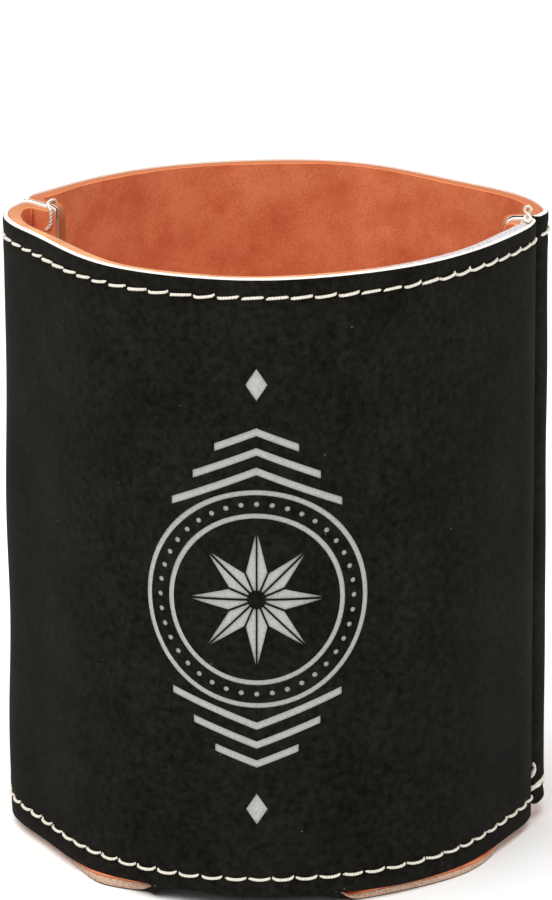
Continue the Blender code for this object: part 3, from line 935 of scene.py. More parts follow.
def buildCoverPanel(side, ornament=None):
    panel = Panel(side, cover["wallCount"], cover["foldCount"], cover["allowanceCount"])
    columns = len(panel.along)
    blackTop = cover["height"] - cover["blackTop"]
    heights = rowHeights(neck["split"], blackTop)
    rows = len(heights)
    onWall = onWallShare(panel, panel.along)
    outerPlan = panel.plan(0.0)
    innerPlan = coverInside(panel, 0.0)
    inwards = (panel.plan(cover["thickness"]) - outerPlan) / cover["thickness"]

    def addPoint(column, height, innerHeight, swell):
        along = np.array([panel.along[column]])
        up = float(liftedHeight(panel, along, np.array([height]))[0])
        upInner = float(liftedHeight(panel, along, np.array([innerHeight]))[0])
        dent = float(coverDent(side, panel, along, np.array([up]))[0])
        flat = outerPlan[column] + inwards[column] * dent
        outer.append((*flat, up))
        inner.append((*innerPlan[column], upInner))
        bulge.append(swell)
        return len(outer) - 1

    # main grid, row by row from the split up to the rim
    alongGrid, heightGrid = np.meshgrid(panel.along, heights)
    upGrid = liftedHeight(panel, alongGrid, heightGrid)
    dentGrid = coverDent(side, panel, alongGrid, upGrid)
    shiftGrid = rimShift(panel, alongGrid, heightGrid)
    higherBlack = (cover["blackTop"] - cover["turnedBlackTop"]) * (1 - onWall[None])
    shiftGrid = shiftGrid + higherBlack * smoothStep(blackTop - 0.0015, blackTop, heightGrid)
    flatGrid = outerPlan[None] + inwards[None] * dentGrid[..., None]
    outerGrid = np.concatenate([flatGrid, (upGrid + shiftGrid)[..., None]], -1)
    innerHeights = heights.copy()
    innerHeights[-1] = cover["height"] - cover["innerTop"]
    innerUp = liftedHeight(panel, alongGrid, np.broadcast_to(innerHeights[:, None], alongGrid.shape))
    innerUp = innerUp + rimShift(panel, alongGrid, heightGrid)
    innerFlat = np.broadcast_to(innerPlan[None], flatGrid.shape)
    innerGrid = np.concatenate([innerFlat, innerUp[..., None]], -1)
    outer = [tuple(p) for p in outerGrid.reshape(-1, 3)]
    inner = [tuple(p) for p in innerGrid.reshape(-1, 3)]
    swellGrid = np.full((rows, columns), cover["edgeBulge"])
    swellGrid[-1] = cover["rimBulge"]
    bulge = list(swellGrid.ravel())
    number = np.arange(rows * columns).reshape(rows, columns)

    faces, paint = [], []
    skip = ornamentWindow(panel, heights) if ornament else None
    for r in range(rows - 1):
        for c in range(columns - 1):
            if skip and skip[0] <= r < skip[1] and skip[2] <= c < skip[3]:
                continue
            corners = (number[r, c], number[r, c + 1], number[r + 1, c + 1], number[r + 1, c])
            faces.append([int(i) for i in corners])
            paint.append(0)

    # below the split: the free edge, and the neck that folds round into the base
    neckColumns = [c for c in range(panel.lead, panel.lead + panel.wallCount + 1)
                   if abs(panel.pointAt(panel.along[c])[0]) <= neck["halfWidth"]]
    neckFirst, neckLast = min(neckColumns), max(neckColumns)
    freeHeights = np.linspace(neck["split"], cover["lift"], 4)[1:]
    for part in (range(0, neckFirst), range(neckLast + 1, columns)):
        part = list(part)
        above = [int(number[0, c]) for c in part]
        for height in freeHeights:
            below = [addPoint(c, height, height, cover["edgeBulge"]) for c in part]
            for i in range(len(part) - 1):
                faces.append([below[i], below[i + 1], above[i + 1], above[i]])
                paint.append(0)
            above = below
    turns = [(*neckCurl(turn, 0.0), *neckCurl(turn, neck["thickness"])) for turn in neckTurns()]
    turns.append((neck["end"], 0.0, neck["end"], neck["thickness"]))
    above = [int(number[0, c]) for c in range(neckFirst, neckLast + 1)]
    neckAngles = panel.wallAngles[neckFirst - panel.lead:neckLast - panel.lead + 1]
    for index, (depth, height, innerDepth, innerHeight) in enumerate(turns):
        flat = wallPoint(neckAngles, depth)
        innerFlatRow = wallPoint(neckAngles, innerDepth)
        below = []
        for i in range(len(neckAngles)):
            outer.append((*flat[i], height))
            inner.append((*innerFlatRow[i], innerHeight))
            bulge.append(0.0)
            below.append(len(outer) - 1)
        for i in range(len(below) - 1):
            faces.append([below[i], below[i + 1], above[i + 1], above[i]])
            paint.append(0)
        above = below

    turnedIn = list((np.broadcast_to(onWall[None], alongGrid.shape) < 0.3).ravel())
    turnedIn += [False] * (len(outer) - len(turnedIn))
    same = list(range(len(outer)))
    if ornament:
        sheetLists = (outer, inner, bulge, faces, paint, same)
        addOrnament(panel, heights, number, skip, ornament, *sheetLists)
        turnedIn += [False] * (len(outer) - len(turnedIn))

    outer = np.array(outer)
    byNeck = np.abs(np.abs(outer[:, 0]) - neck["halfWidth"]) < neck["darkEnds"]
    sheet = {
        "outer": outer,
        "inner": np.array(inner),
        "faces": faces,
        "paint": paint,
        "hidden": byNeck & (outer[:, 2] < neck["split"] + 0.0006),
        "sameInside": np.array(same),
        "bulge": np.array(bulge),
        "innerPaint": 1,
        "profile": [(0.06, 0.10), (0.13, 0.45), (0.30, 0.85), (0.55, 1.0), (0.80, 0.80), (0.95, 0.35)],
        "edgePaint": [0, 0, 1, 1, 1, 1, 1],
        "darker": np.array(turnedIn),
        "darkPaint": [0, 0, 0, 1, 1, 1, 1],
        "seed": 5 if side == "front" else 6,
    }
    obj = sheetMesh(f"{side}_cover_panel", sheet, [blackLeatherette, creamBacking, engravedSilver])
    finishPiece(obj, "leatherette", "cover")
    print(f"{side} cover panel:", len(obj.data.polygons), "faces")
    return panel, neckAngles


# Engraved ornament: rings, an eight-pointed star, chevrons and lozenges

ornamentSizes = {
    "middleHeight": 0.0475,
    "offset": 0.0022,
    "depth": 0.0002,
    "medallion": 0.0165,
    "ringWidth": 0.0008,
    "innerRing": 0.0130,
    "starRadius": 0.0105,
    "starWaist": 0.0042,
    "starHub": 0.0014,
    "starPoints": 8,
    "facetGap": 0.00013,
    "beadRadius": 0.00042,
    "beadCount": 40,
    "chevrons": 3,
    "chevronHalfWidth": 0.0125,
    "chevronNarrowing": 0.0032,
    "chevronRise": 0.0050,
    "chevronWidth": 0.0012,
    "chevronSpacing": 0.0042,
    "chevronGap": 0.0022,
    "lozengeHalfHeight": 0.0024,
    "lozengeHalfWidth": 0.0016,
    "lozengeGap": 0.0014,
    "fine": 0.0007,
}


def circleOutline(radius, count, centre=(0.0, 0.0)):
    return [
        (centre[0] + radius * math.cos(2 * math.pi * i / count),
         centre[1] + radius * math.sin(2 * math.pi * i / count))
        for i in range(count)
    ]


def insetLines(corners, distances):
    # moves each side of an outline inwards by its own distance
    middle = np.mean(corners, axis=0)
    lines = []
    for i, distance in enumerate(distances):
        a, b = np.array(corners[i]), np.array(corners[(i + 1) % len(corners)])
        normal = np.array((a[1] - b[1], b[0] - a[0]))
        normal /= np.linalg.norm(normal)
        if normal @ (middle - a) < 0:
            normal = -normal
        lines.append((normal, normal @ a + distance))
    points = []
    for i in range(len(corners)):
        (n1, c1), (n2, c2) = lines[i - 1], lines[i]
        points.append(tuple(np.linalg.solve(np.array([n1, n2]), np.array([c1, c2]))))
    return points


def starOutlines():
    count = ornamentSizes["starPoints"] * 2
    gap = ornamentSizes["facetGap"]
    outlines = []
    for i in range(count):
        corners = []
        for k, inner in ((i, True), (i, False), (i + 1, False), (i + 1, True)):
            angle = 2 * math.pi * (k % count) / count + math.pi / 2
            reach = ornamentSizes["starWaist"] if k % 2 else ornamentSizes["starRadius"]
            reach = ornamentSizes["starHub"] if inner else reach
            corners.append((reach * math.cos(angle), reach * math.sin(angle)))
        outlines.append(insetLines(corners, [gap, 0.0, gap, 0.0]))
    return outlines


def chevronOutline(number, direction):
    half = ornamentSizes["chevronHalfWidth"] - ornamentSizes["chevronNarrowing"] * number
    rise = ornamentSizes["chevronRise"] * half / ornamentSizes["chevronHalfWidth"]
    near = (ornamentSizes["medallion"] + ornamentSizes["chevronGap"] - ornamentSizes["chevronRise"]
            + ornamentSizes["chevronSpacing"] * number)
    wide = ornamentSizes["chevronWidth"]
    low = [(half * s, direction * (near + rise * (1 - abs(s)))) for s in (-1.0, 0.0, 1.0)]
    high = [(half * s, direction * (near + rise * (1 - abs(s)) + wide)) for s in (1.0, 0.0, -1.0)]
    return low + high


def lozengeOutline(direction):
    last = ornamentSizes["chevrons"] - 1
    tip = ornamentSizes["medallion"] + ornamentSizes["chevronGap"] + ornamentSizes["chevronSpacing"] * last
    centre = direction * (tip + ornamentSizes["chevronWidth"] + ornamentSizes["lozengeGap"]
                          + ornamentSizes["lozengeHalfHeight"])
    tall, wide = ornamentSizes["lozengeHalfHeight"], ornamentSizes["lozengeHalfWidth"]
    return [(0.0, centre - tall), (wide, centre), (0.0, centre + tall), (-wide, centre)]


def ornamentOutlines():
    outlines = []
    for radius in (ornamentSizes["medallion"], ornamentSizes["innerRing"]):
        outlines.append(circleOutline(radius, 120))
        outlines.append(circleOutline(radius - ornamentSizes["ringWidth"], 120))
    between = (ornamentSizes["medallion"] - ornamentSizes["ringWidth"] + ornamentSizes["innerRing"]) / 2
    for centre in circleOutline(between, ornamentSizes["beadCount"]):
        outlines.append(circleOutline(ornamentSizes["beadRadius"], 8, centre))
    outlines += starOutlines()
    for direction in (1, -1):
        outlines += [chevronOutline(n, direction) for n in range(ornamentSizes["chevrons"])]
        outlines.append(lozengeOutline(direction))
    return outlines


def ornamentWindow(panel, heights):
    # the rows and columns that the ornament's own faces take the place of
    middle, offset = ornamentSizes["middleHeight"], ornamentSizes["offset"]
    wide, tall = ornamentSizes["medallion"] + 0.0015, 0.0362
    low = int(np.searchsorted(heights, middle - tall)) - 1
    high = int(np.searchsorted(heights, middle + tall))
    left = int(np.searchsorted(panel.along, offset - wide)) - 1
    right = int(np.searchsorted(panel.along, offset + wide))
    return low, high, left, right


def divided(outline, step):
    # counterclockwise, with no side longer than step
    turns = [a[0] * b[1] - a[1] * b[0] for a, b in zip(outline, outline[1:] + outline[:1])]
    if sum(turns) < 0:
        outline = outline[::-1]
    points = []
    for a, b in zip(outline, outline[1:] + outline[:1]):
        pieces = max(1, round(math.dist(a, b) / step))
        shares = [i / pieces for i in range(pieces)]
        points += [(blend(a[0], b[0], share), blend(a[1], b[1], share)) for share in shares]
    return points


def addOrnament(panel, heights, number, window, outlines, outer, inner, bulge, faces, paint, same):
    low, high, left, right = window
    offset, middle = ornamentSizes["offset"], ornamentSizes["middleHeight"]
    ring = [(low, c) for c in range(left, right)]
    ring += [(r, right) for r in range(low, high)]
    ring += [(high, c) for c in range(right, left, -1)]
    ring += [(r, left) for r in range(high, low, -1)]
    points = [(panel.along[c], heights[r]) for r, c in ring]
    known = [int(number[r, c]) for r, c in ring]
    edges = [(i, (i + 1) % len(ring)) for i in range(len(ring))]
    shapes = []
    for outline in outlines:
        fine = divided([(offset + x, middle + y) for x, y in outline], ornamentSizes["fine"])
        shapes.append(list(range(len(points), len(points) + len(fine))))
        points += fine
    outlinePoints = np.array(points)
    across = np.arange(panel.along[left] + 0.0008, panel.along[right] - 0.0004, 0.0011)
    upwards = np.arange(heights[low] + 0.0009, heights[high] - 0.0005, 0.0013)
    for x in across:
        for y in upwards:
            if np.min(np.hypot(outlinePoints[:, 0] - x, outlinePoints[:, 1] - y)) > 0.0005:
                points.append((x, y))
    scale = 1000.0   # the triangulation works in millimetres
    scaled = [Vector((x * scale, y * scale)) for x, y in points]
    result = delaunay_2d_cdt(scaled, edges, shapes, 1, 1e-5, True)
    madePoints, _, madeFaces, fromPoints, _, fromFaces = result
    flatPoints = np.array([(p.x / scale, p.y / scale) for p in madePoints])
    inRing = {}
    for i, sources in enumerate(fromPoints):
        for source in sources:
            if source < len(ring):
                inRing[i] = known[source]
    cut = [len(sources) % 2 == 1 for sources in fromFaces]

    angles = panel.angleAt(flatPoints[:, 0])
    dent = coverDent(panel.side, panel, flatPoints[:, 0], flatPoints[:, 1])
    surface = wallPoint(angles, dent)
    floorLevel = wallPoint(angles, dent + ornamentSizes["depth"])
    inside = wallPoint(angles, cover["thickness"])
    topOf, floorOf = {}, {}

    def pointNumber(i, lowered):
        if not lowered and i in inRing:
            return inRing[i]
        table = floorOf if lowered else topOf
        if i not in table:
            flat = floorLevel[i] if lowered else surface[i]
            outer.append((*flat, flatPoints[i, 1]))
            inner.append((*inside[i], flatPoints[i, 1]))
            bulge.append(0.0)
            same.append(len(outer) - 1)
            table[i] = len(outer) - 1
        return table[i]

    owners = {}
    for index, face in enumerate(madeFaces):
        for a, b in zip(face, face[1:] + face[:1]):
            owners[(a, b)] = index
    for index, face in enumerate(madeFaces):
        faces.append([pointNumber(i, cut[index]) for i in face])
        paint.append(2 if cut[index] else 0)
    for (a, b), index in owners.items():
        neighbour = owners.get((b, a))
        if neighbour is None or cut[index] or not cut[neighbour]:
            continue
        corners = ((b, False), (a, False), (a, True), (b, True))
        faces.append([pointNumber(*corner) for corner in corners])
        paint.append(0)
    for i, lowered in floorOf.items():
        same[lowered] = pointNumber(i, False)


frontPanel, frontNeckAngles = buildCoverPanel("front", ornamentOutlines())
backPanel, backNeckAngles = buildCoverPanel("back")


# Lining panels

lining = {
    "gluedGap": 0.00003,          # between the cover's inner face and the lining
    "depth": 0.0025,              # of the face that shows inside
    "top": 0.09493,
    "aboveEdge": 0.00006,         # its bottom edge over the cover's
    "rimBulge": 0.00018,
    "sideBulge": 0.00050,
    "soft": 0.00022,
    "softLength": 0.017,
    "crease": 0.00040,
    "creaseReach": 0.009,
    "sway": 1.4,
    "swayLength": 0.030,
    "creaseFrom": 0.0035,
    "creaseLength": 0.0062,
    "filling": {"front": (0.00075, 0.0004), "back": (0.0004, 0.0004)},
    "fillingWidth": 0.0015,
    "wallCount": 170,
    "foldCount": 8,
    "allowanceCount": 8,
    "rows": 62,
}


def liningDent(side, panel, along, height):
    # soft waves of the inner face, and creases that fan out from the seams
    waves = softWaves(along, height, 31 if side == "front" else 32, lining["softLength"])
    near = np.minimum(along - panel.wallStart, panel.wallEnd - along)
    sway = lining["sway"] * softWaves(along, height, 33, lining["swayLength"], 4)
    ripple = np.sin(near * 2 * math.pi / lining["creaseLength"] + sway)
    fade = np.exp(-((near - lining["creaseFrom"]) / lining["creaseReach"]) ** 2)
    below = 1 - smoothStep(lining["top"] - 0.006, lining["top"] - 0.001, height)
    onWall = smoothStep(0.0, 0.003, near)
    filling = 0.0
    corners = ((panel.foldStart + panel.wallStart) / 2, (panel.foldEnd + panel.wallEnd) / 2)
    for corner, depth in zip(corners, lining["filling"][side]):
        filling = filling + depth * np.exp(-(((along - corner) / lining["fillingWidth"]) ** 2))
    return (lining["soft"] * waves + lining["crease"] * ripple * fade * below) * onWall + filling


def buildLiningPanel(side):
    panel = Panel(side, lining["wallCount"], lining["foldCount"], lining["allowanceCount"])
    heights = np.linspace(cover["lift"] + lining["aboveEdge"], lining["top"], lining["rows"])
    glued = coverInside(panel, lining["gluedGap"])
    shown = panel.plan(lining["depth"])
    inwards = (shown - panel.plan(0.0)) / lining["depth"]
    alongGrid, heightGrid = np.meshgrid(panel.along, heights)
    upGrid = liftedHeight(panel, alongGrid, heightGrid)
    shiftGrid = rimShift(panel, alongGrid, heightGrid)
    dent = liningDent(side, panel, alongGrid, upGrid)
    shownFlat = shown[None] + inwards[None] * dent[..., None]
    top = (upGrid + shiftGrid)[..., None]
    outer = np.concatenate([np.broadcast_to(glued[None], shownFlat.shape), top], -1).reshape(-1, 3)
    inner = np.concatenate([shownFlat, top], -1).reshape(-1, 3)
    rows, columns = alongGrid.shape
    number = np.arange(rows * columns).reshape(rows, columns)
    faces = [
        [int(number[r, c]), int(number[r, c + 1]), int(number[r + 1, c + 1]), int(number[r + 1, c])]
        for r in range(rows - 1) for c in range(columns - 1)
    ]
    bulge = np.full((rows, columns), lining["rimBulge"])
    bulge[1:-1, 0] = bulge[1:-1, -1] = lining["sideBulge"]
    sheet = {
        "outer": outer,
        "inner": inner,
        "faces": faces,
        "paint": [0] * len(faces),
        "bulge": bulge.ravel(),
        "innerPaint": 0,
        "profile": [(0.10, 0.45), (0.30, 0.88), (0.55, 1.0), (0.80, 0.80), (0.94, 0.40)],
        "edgePaint": [1, 1, 1, 1, 1, 0],
        "seed": 7 if side == "front" else 8,
    }
    obj = sheetMesh(f"{side}_lining_panel", sheet, [orangeLining, cutLining])
    finishPiece(obj, "lining", "lining")
    print(f"{side} lining panel:", len(obj.data.polygons), "faces")


buildLiningPanel("front")
buildLiningPanel("back")


# Base: the round part of the blank. Its free edge shows its layers, and curls up beside the necks.

base = {
    "radius": 0.0360,
    "offset": (-0.0004, 0.0005),
    "swells": [                   # angle, spread, how far the edge stands out
        (math.radians(-125.5), math.radians(8.5), 0.00185),
        (math.radians(-152.0), math.radians(9.0), -0.0013),
        (math.radians(-50.0), math.radians(14.0), -0.0005),
        (math.radians(-30.0), math.radians(12.0), 0.0004),
        (math.radians(-8.0), math.radians(7.0), -0.0004),
    ],
    "waviness": 0.00010,
    "thickness": 0.00105,
    "edgeChanges": [              # angle, spread, how much thicker the cut edge is
        (math.radians(-122.0), math.radians(9.0), 0.00030),
        (math.radians(-142.0), math.radians(10.0), -0.00050),
        (math.radians(-16.0), math.radians(12.0), -0.00045),
        (math.radians(-68.0), math.radians(6.0), -0.00055),
    ],
    "crowding": 0.13,             # how much closer the columns stand at a span's two ends
    "freeStep": math.radians(0.9),
    "curlReach": 0.0021,          # along the wall, from the neck
    "flapSteps": 10,
    "edgeBulge": 0.00020,
    "liningGap": 0.00003,
    "liningEdge": 0.00038,
    "liningFade": math.radians(5.0),
    "liningTop": 0.0025,
    "liningStep": (0.940, 0.985),
}


def freeBaseRadius(angle):
    x, y = base["offset"]
    radius = base["radius"] + base["waviness"] * math.sin(7 * angle + 0.6) * math.cos(3 * angle)
    for centre, spread, reach in base["swells"]:
        radius += reach * math.exp(-((float(turnBetween(angle, centre)) / spread) ** 2))
    towards = x * math.cos(angle) + y * math.sin(angle)
    return towards + math.sqrt(towards**2 - x * x - y * y + radius**2)


def baseColumns():
    # angles round the base, each with how far it curls up: 1 at the necks, 0 away from them
    columns = []
    spans = []
    for angles in (frontNeckAngles, backNeckAngles):
        columns += [(float(angle) % (2 * math.pi), 1.0) for angle in angles]
        spans.append((float(angles[0]) % (2 * math.pi), float(angles[-1]) % (2 * math.pi)))
    for low, high in ((spans[1][1], spans[0][0]), (spans[0][1], spans[1][0] + 2 * math.pi)):
        count = round((high - low) / base["freeStep"])
        for i in range(1, count):
            share = i / count
            share = share - base["crowding"] * math.sin(2 * math.pi * share)
            angle = blend(low, high, share)
            gap = min(angle - low, high - angle) * plan["pocketRadius"]
            columns.append((angle % (2 * math.pi), math.exp(-((gap / base["curlReach"]) ** 2))))
    return sorted(columns), spans


def flapPoint(angle, curl, share, layer):
    # share runs from the neck's end depth, 0, to the free edge, 1
    edgeDepth = float(wallRadius(angle)) - freeBaseRadius(angle)
    flatDepth = blend(neck["end"], edgeDepth, share)
    if share < 0.15:
        curledDepth, curledHeight = blend(neck["end"], neck["radius"], share / 0.15), layer
    else:
        turn = math.pi / 2 * (1 - (share - 0.15) / 0.85)
        curledDepth, curledHeight = neckCurl(turn, layer)
    depth = blend(flatDepth, curledDepth, curl)
    flat = wallPoint(angle, depth)
    return float(flat[0]), float(flat[1]), blend(layer, curledHeight, curl)


def coverEdge(angle):
    edge = base["thickness"]
    for centre, spread, extra in base["edgeChanges"]:
        edge += extra * math.exp(-((float(turnBetween(angle, centre)) / spread) ** 2))
    return edge


def buildBaseSheet(name, materials, bottomLayer, topLayer, wholeRing, edge):
    # bottomLayer and topLayer give a height for (angle, share of the disc, share of the flap)
    columns, spans = baseColumns()
    shares = [0.10, 0.25, 0.40, 0.55, 0.68, 0.78, 0.86, 0.91, 0.94, 0.955, 0.97, 0.985, 1.0]
    lower = [(0.0, 0.0, bottomLayer(0.0, 0.0, 0.0))]
    upper = [(0.0, 0.0, topLayer(0.0, 0.0, 0.0))]
    bulge, faces = [0.0], []
    rings = []
    for share in shares:
        ring = []
        for angle, _ in columns:
            x, y = wallPoint(angle, neck["end"]) * share
            lower.append((x, y, bottomLayer(angle, share, 0.0)))
            upper.append((x, y, topLayer(angle, share, 0.0)))
            bulge.append(0.0)
            ring.append(len(lower) - 1)
        rings.append(ring)
    count = len(columns)
    for i in range(count):
        faces.append([0, rings[0][(i + 1) % count], rings[0][i]])
    for here, there in zip(rings, rings[1:]):
        for i in range(count):
            after = (i + 1) % count
            faces.append([here[i], here[after], there[after], there[i]])
    isFree = []
    for angle, _ in columns:
        inNeck = any(low + 1e-6 < angle < high - 1e-6 for low, high in spans)
        isFree.append(wholeRing or not inNeck)
    before = rings[-1]
    for step in range(1, base["flapSteps"] + 1):
        share = step / base["flapSteps"]
        ring = []
        for free, (angle, curl) in zip(isFree, columns):
            if free:
                bottom, top = bottomLayer(angle, 1.0, share), topLayer(angle, 1.0, share)
                lower.append(flapPoint(angle, curl, share, bottom))
                upper.append(flapPoint(angle, curl, share, top))
                bulge.append(base["edgeBulge"] if step == base["flapSteps"] and curl < 0.98 else 0.0)
                ring.append(len(lower) - 1)
            else:
                ring.append(None)
        for i in range(count):
            after = (i + 1) % count
            if ring[i] is not None and ring[after] is not None:
                faces.append([before[i], before[after], ring[after], ring[i]])
        before = ring
    sheet = {
        "outer": np.array(lower),
        "inner": np.array(upper),
        "faces": faces,
        "paint": [0] * len(faces),
        "bulge": np.array(bulge),
        "innerPaint": edge["innerPaint"],
        "profile": edge["profile"],
        "edgePaint": edge["paint"],
        "fuzz": 0.3,
        "seed": 9,
    }
    return sheetMesh(name, sheet, materials)


def buildBase():
    def coverTop(angle, share, flap):
        return blend(base["thickness"], coverEdge(angle), flap)

    ends = (frontNeckAngles[0], frontNeckAngles[-1], backNeckAngles[0], backNeckAngles[-1])

    def liningTop(angle, share, flap):
        # the lining's edge thins out towards the necks
        down = float(smoothStep(*base["liningStep"], share))
        gap = min(abs(float(turnBetween(angle, end))) for end in ends)
        edge = base["liningEdge"] * (1 - 0.8 * math.exp(-((gap / base["liningFade"]) ** 2)))
        return blend(base["liningTop"], coverTop(angle, share, flap) + edge, down)

    blackFloor = buildBaseSheet(
        "base_cover", [blackLeatherette, pinkBacking], lambda *at: 0.0, coverTop, False,
        {"innerPaint": 1, "paint": [0, 0, 1, 1, 1, 1, 1],
         "profile": [(0.05, 0.10), (0.14, 0.35), (0.30, 0.85), (0.55, 1.0), (0.80, 0.8), (0.95, 0.5)]})
    finishPiece(blackFloor, "leatherette", "cover")
    orangeFloor = buildBaseSheet(
        "base_lining", [orangeLining], lambda *at: coverTop(*at) + base["liningGap"], liningTop, True,
        {"innerPaint": 0, "paint": [0, 0, 0], "profile": [(0.25, 0.6), (0.75, 0.6)]})
    finishPiece(orangeFloor, "lining", "lining")
    print("base:", len(blackFloor.data.polygons) + len(orangeFloor.data.polygons), "faces")


buildBase()


# Stitches: a Geometry Nodes tree lays twisted two-ply stitches along a path

thread = {
    "plyRadius": 0.000138,
    "plyOffset": 0.000122,
    "twistTurns": 3.5,
    "stitchShare": 0.875,         # of the pitch
    "lift": 0.00012,
    "plunge": 0.00034,
    "topSag": 0.00001,
    "topSlant": 0.00016,
    "bottomSag": 0.00011,
    "bottomSlant": 0.00002,
    "segments": 14,
    "sides": 7,
    "taper": 0.22,
    "bluntEnds": 0.35,
    "tilt": 0.05,                 # largest random turn of a stitch, in radians
    "rollShare": 9.0,             # how many times more it rolls about its own length
    "liftShare": 0.4,
    "sizeRange": (0.94, 1.06),
}


class Tree:
    # a small helper that adds nodes and links them by socket name
    def __init__(self, name, inputs):
        self.group = bpy.data.node_groups.new(name, "GeometryNodeTree")
        face = self.group.interface
        face.new_socket("Geometry", in_out="INPUT", socket_type="NodeSocketGeometry")
        for label, kind, default in inputs:
            socket = face.new_socket(label, in_out="INPUT", socket_type=kind)
            if default is not None:
                socket.default_value = default
        face.new_socket("Geometry", in_out="OUTPUT", socket_type="NodeSocketGeometry")
        self.source = self.group.nodes.new("NodeGroupInput")
        self.target = self.group.nodes.new("NodeGroupOutput")

    def given(self, label):
        return self.source.outputs[label]

    def node(self, kind, settings=None, **inputs):
        node = self.group.nodes.new(kind)
        for name, value in (settings or {}).items():
            setattr(node, name, value)
        for name, value in inputs.items():
            self.feed(node, name.replace("_", " "), value)
        return node

    def feed(self, node, name, value):
        socket = node.inputs[int(name)] if name.isdigit() else node.inputs[name]
        for part in value if isinstance(value, list) else [value]:
            if isinstance(part, bpy.types.NodeSocket):
                self.group.links.new(part, socket)
            else:
                socket.default_value = part

    def math(self, operation, *values):
        node = self.group.nodes.new("ShaderNodeMath")
        node.operation = operation
        for index, value in enumerate(values):
            self.feed(node, str(index), value)
        return node.outputs[0]

    def vector(self, operation, *values):
        node = self.group.nodes.new("ShaderNodeVectorMath")
        node.operation = operation
        for index, value in enumerate(values):
            if operation == "SCALE" and index == 1:
                self.feed(node, "Scale", value)
            else:
                self.feed(node, str(index), value)
        return node.outputs[0]

    def joined(self, x, y, z):
        return self.node("ShaderNodeCombineXYZ", X=x, Y=y, Z=z).outputs[0]


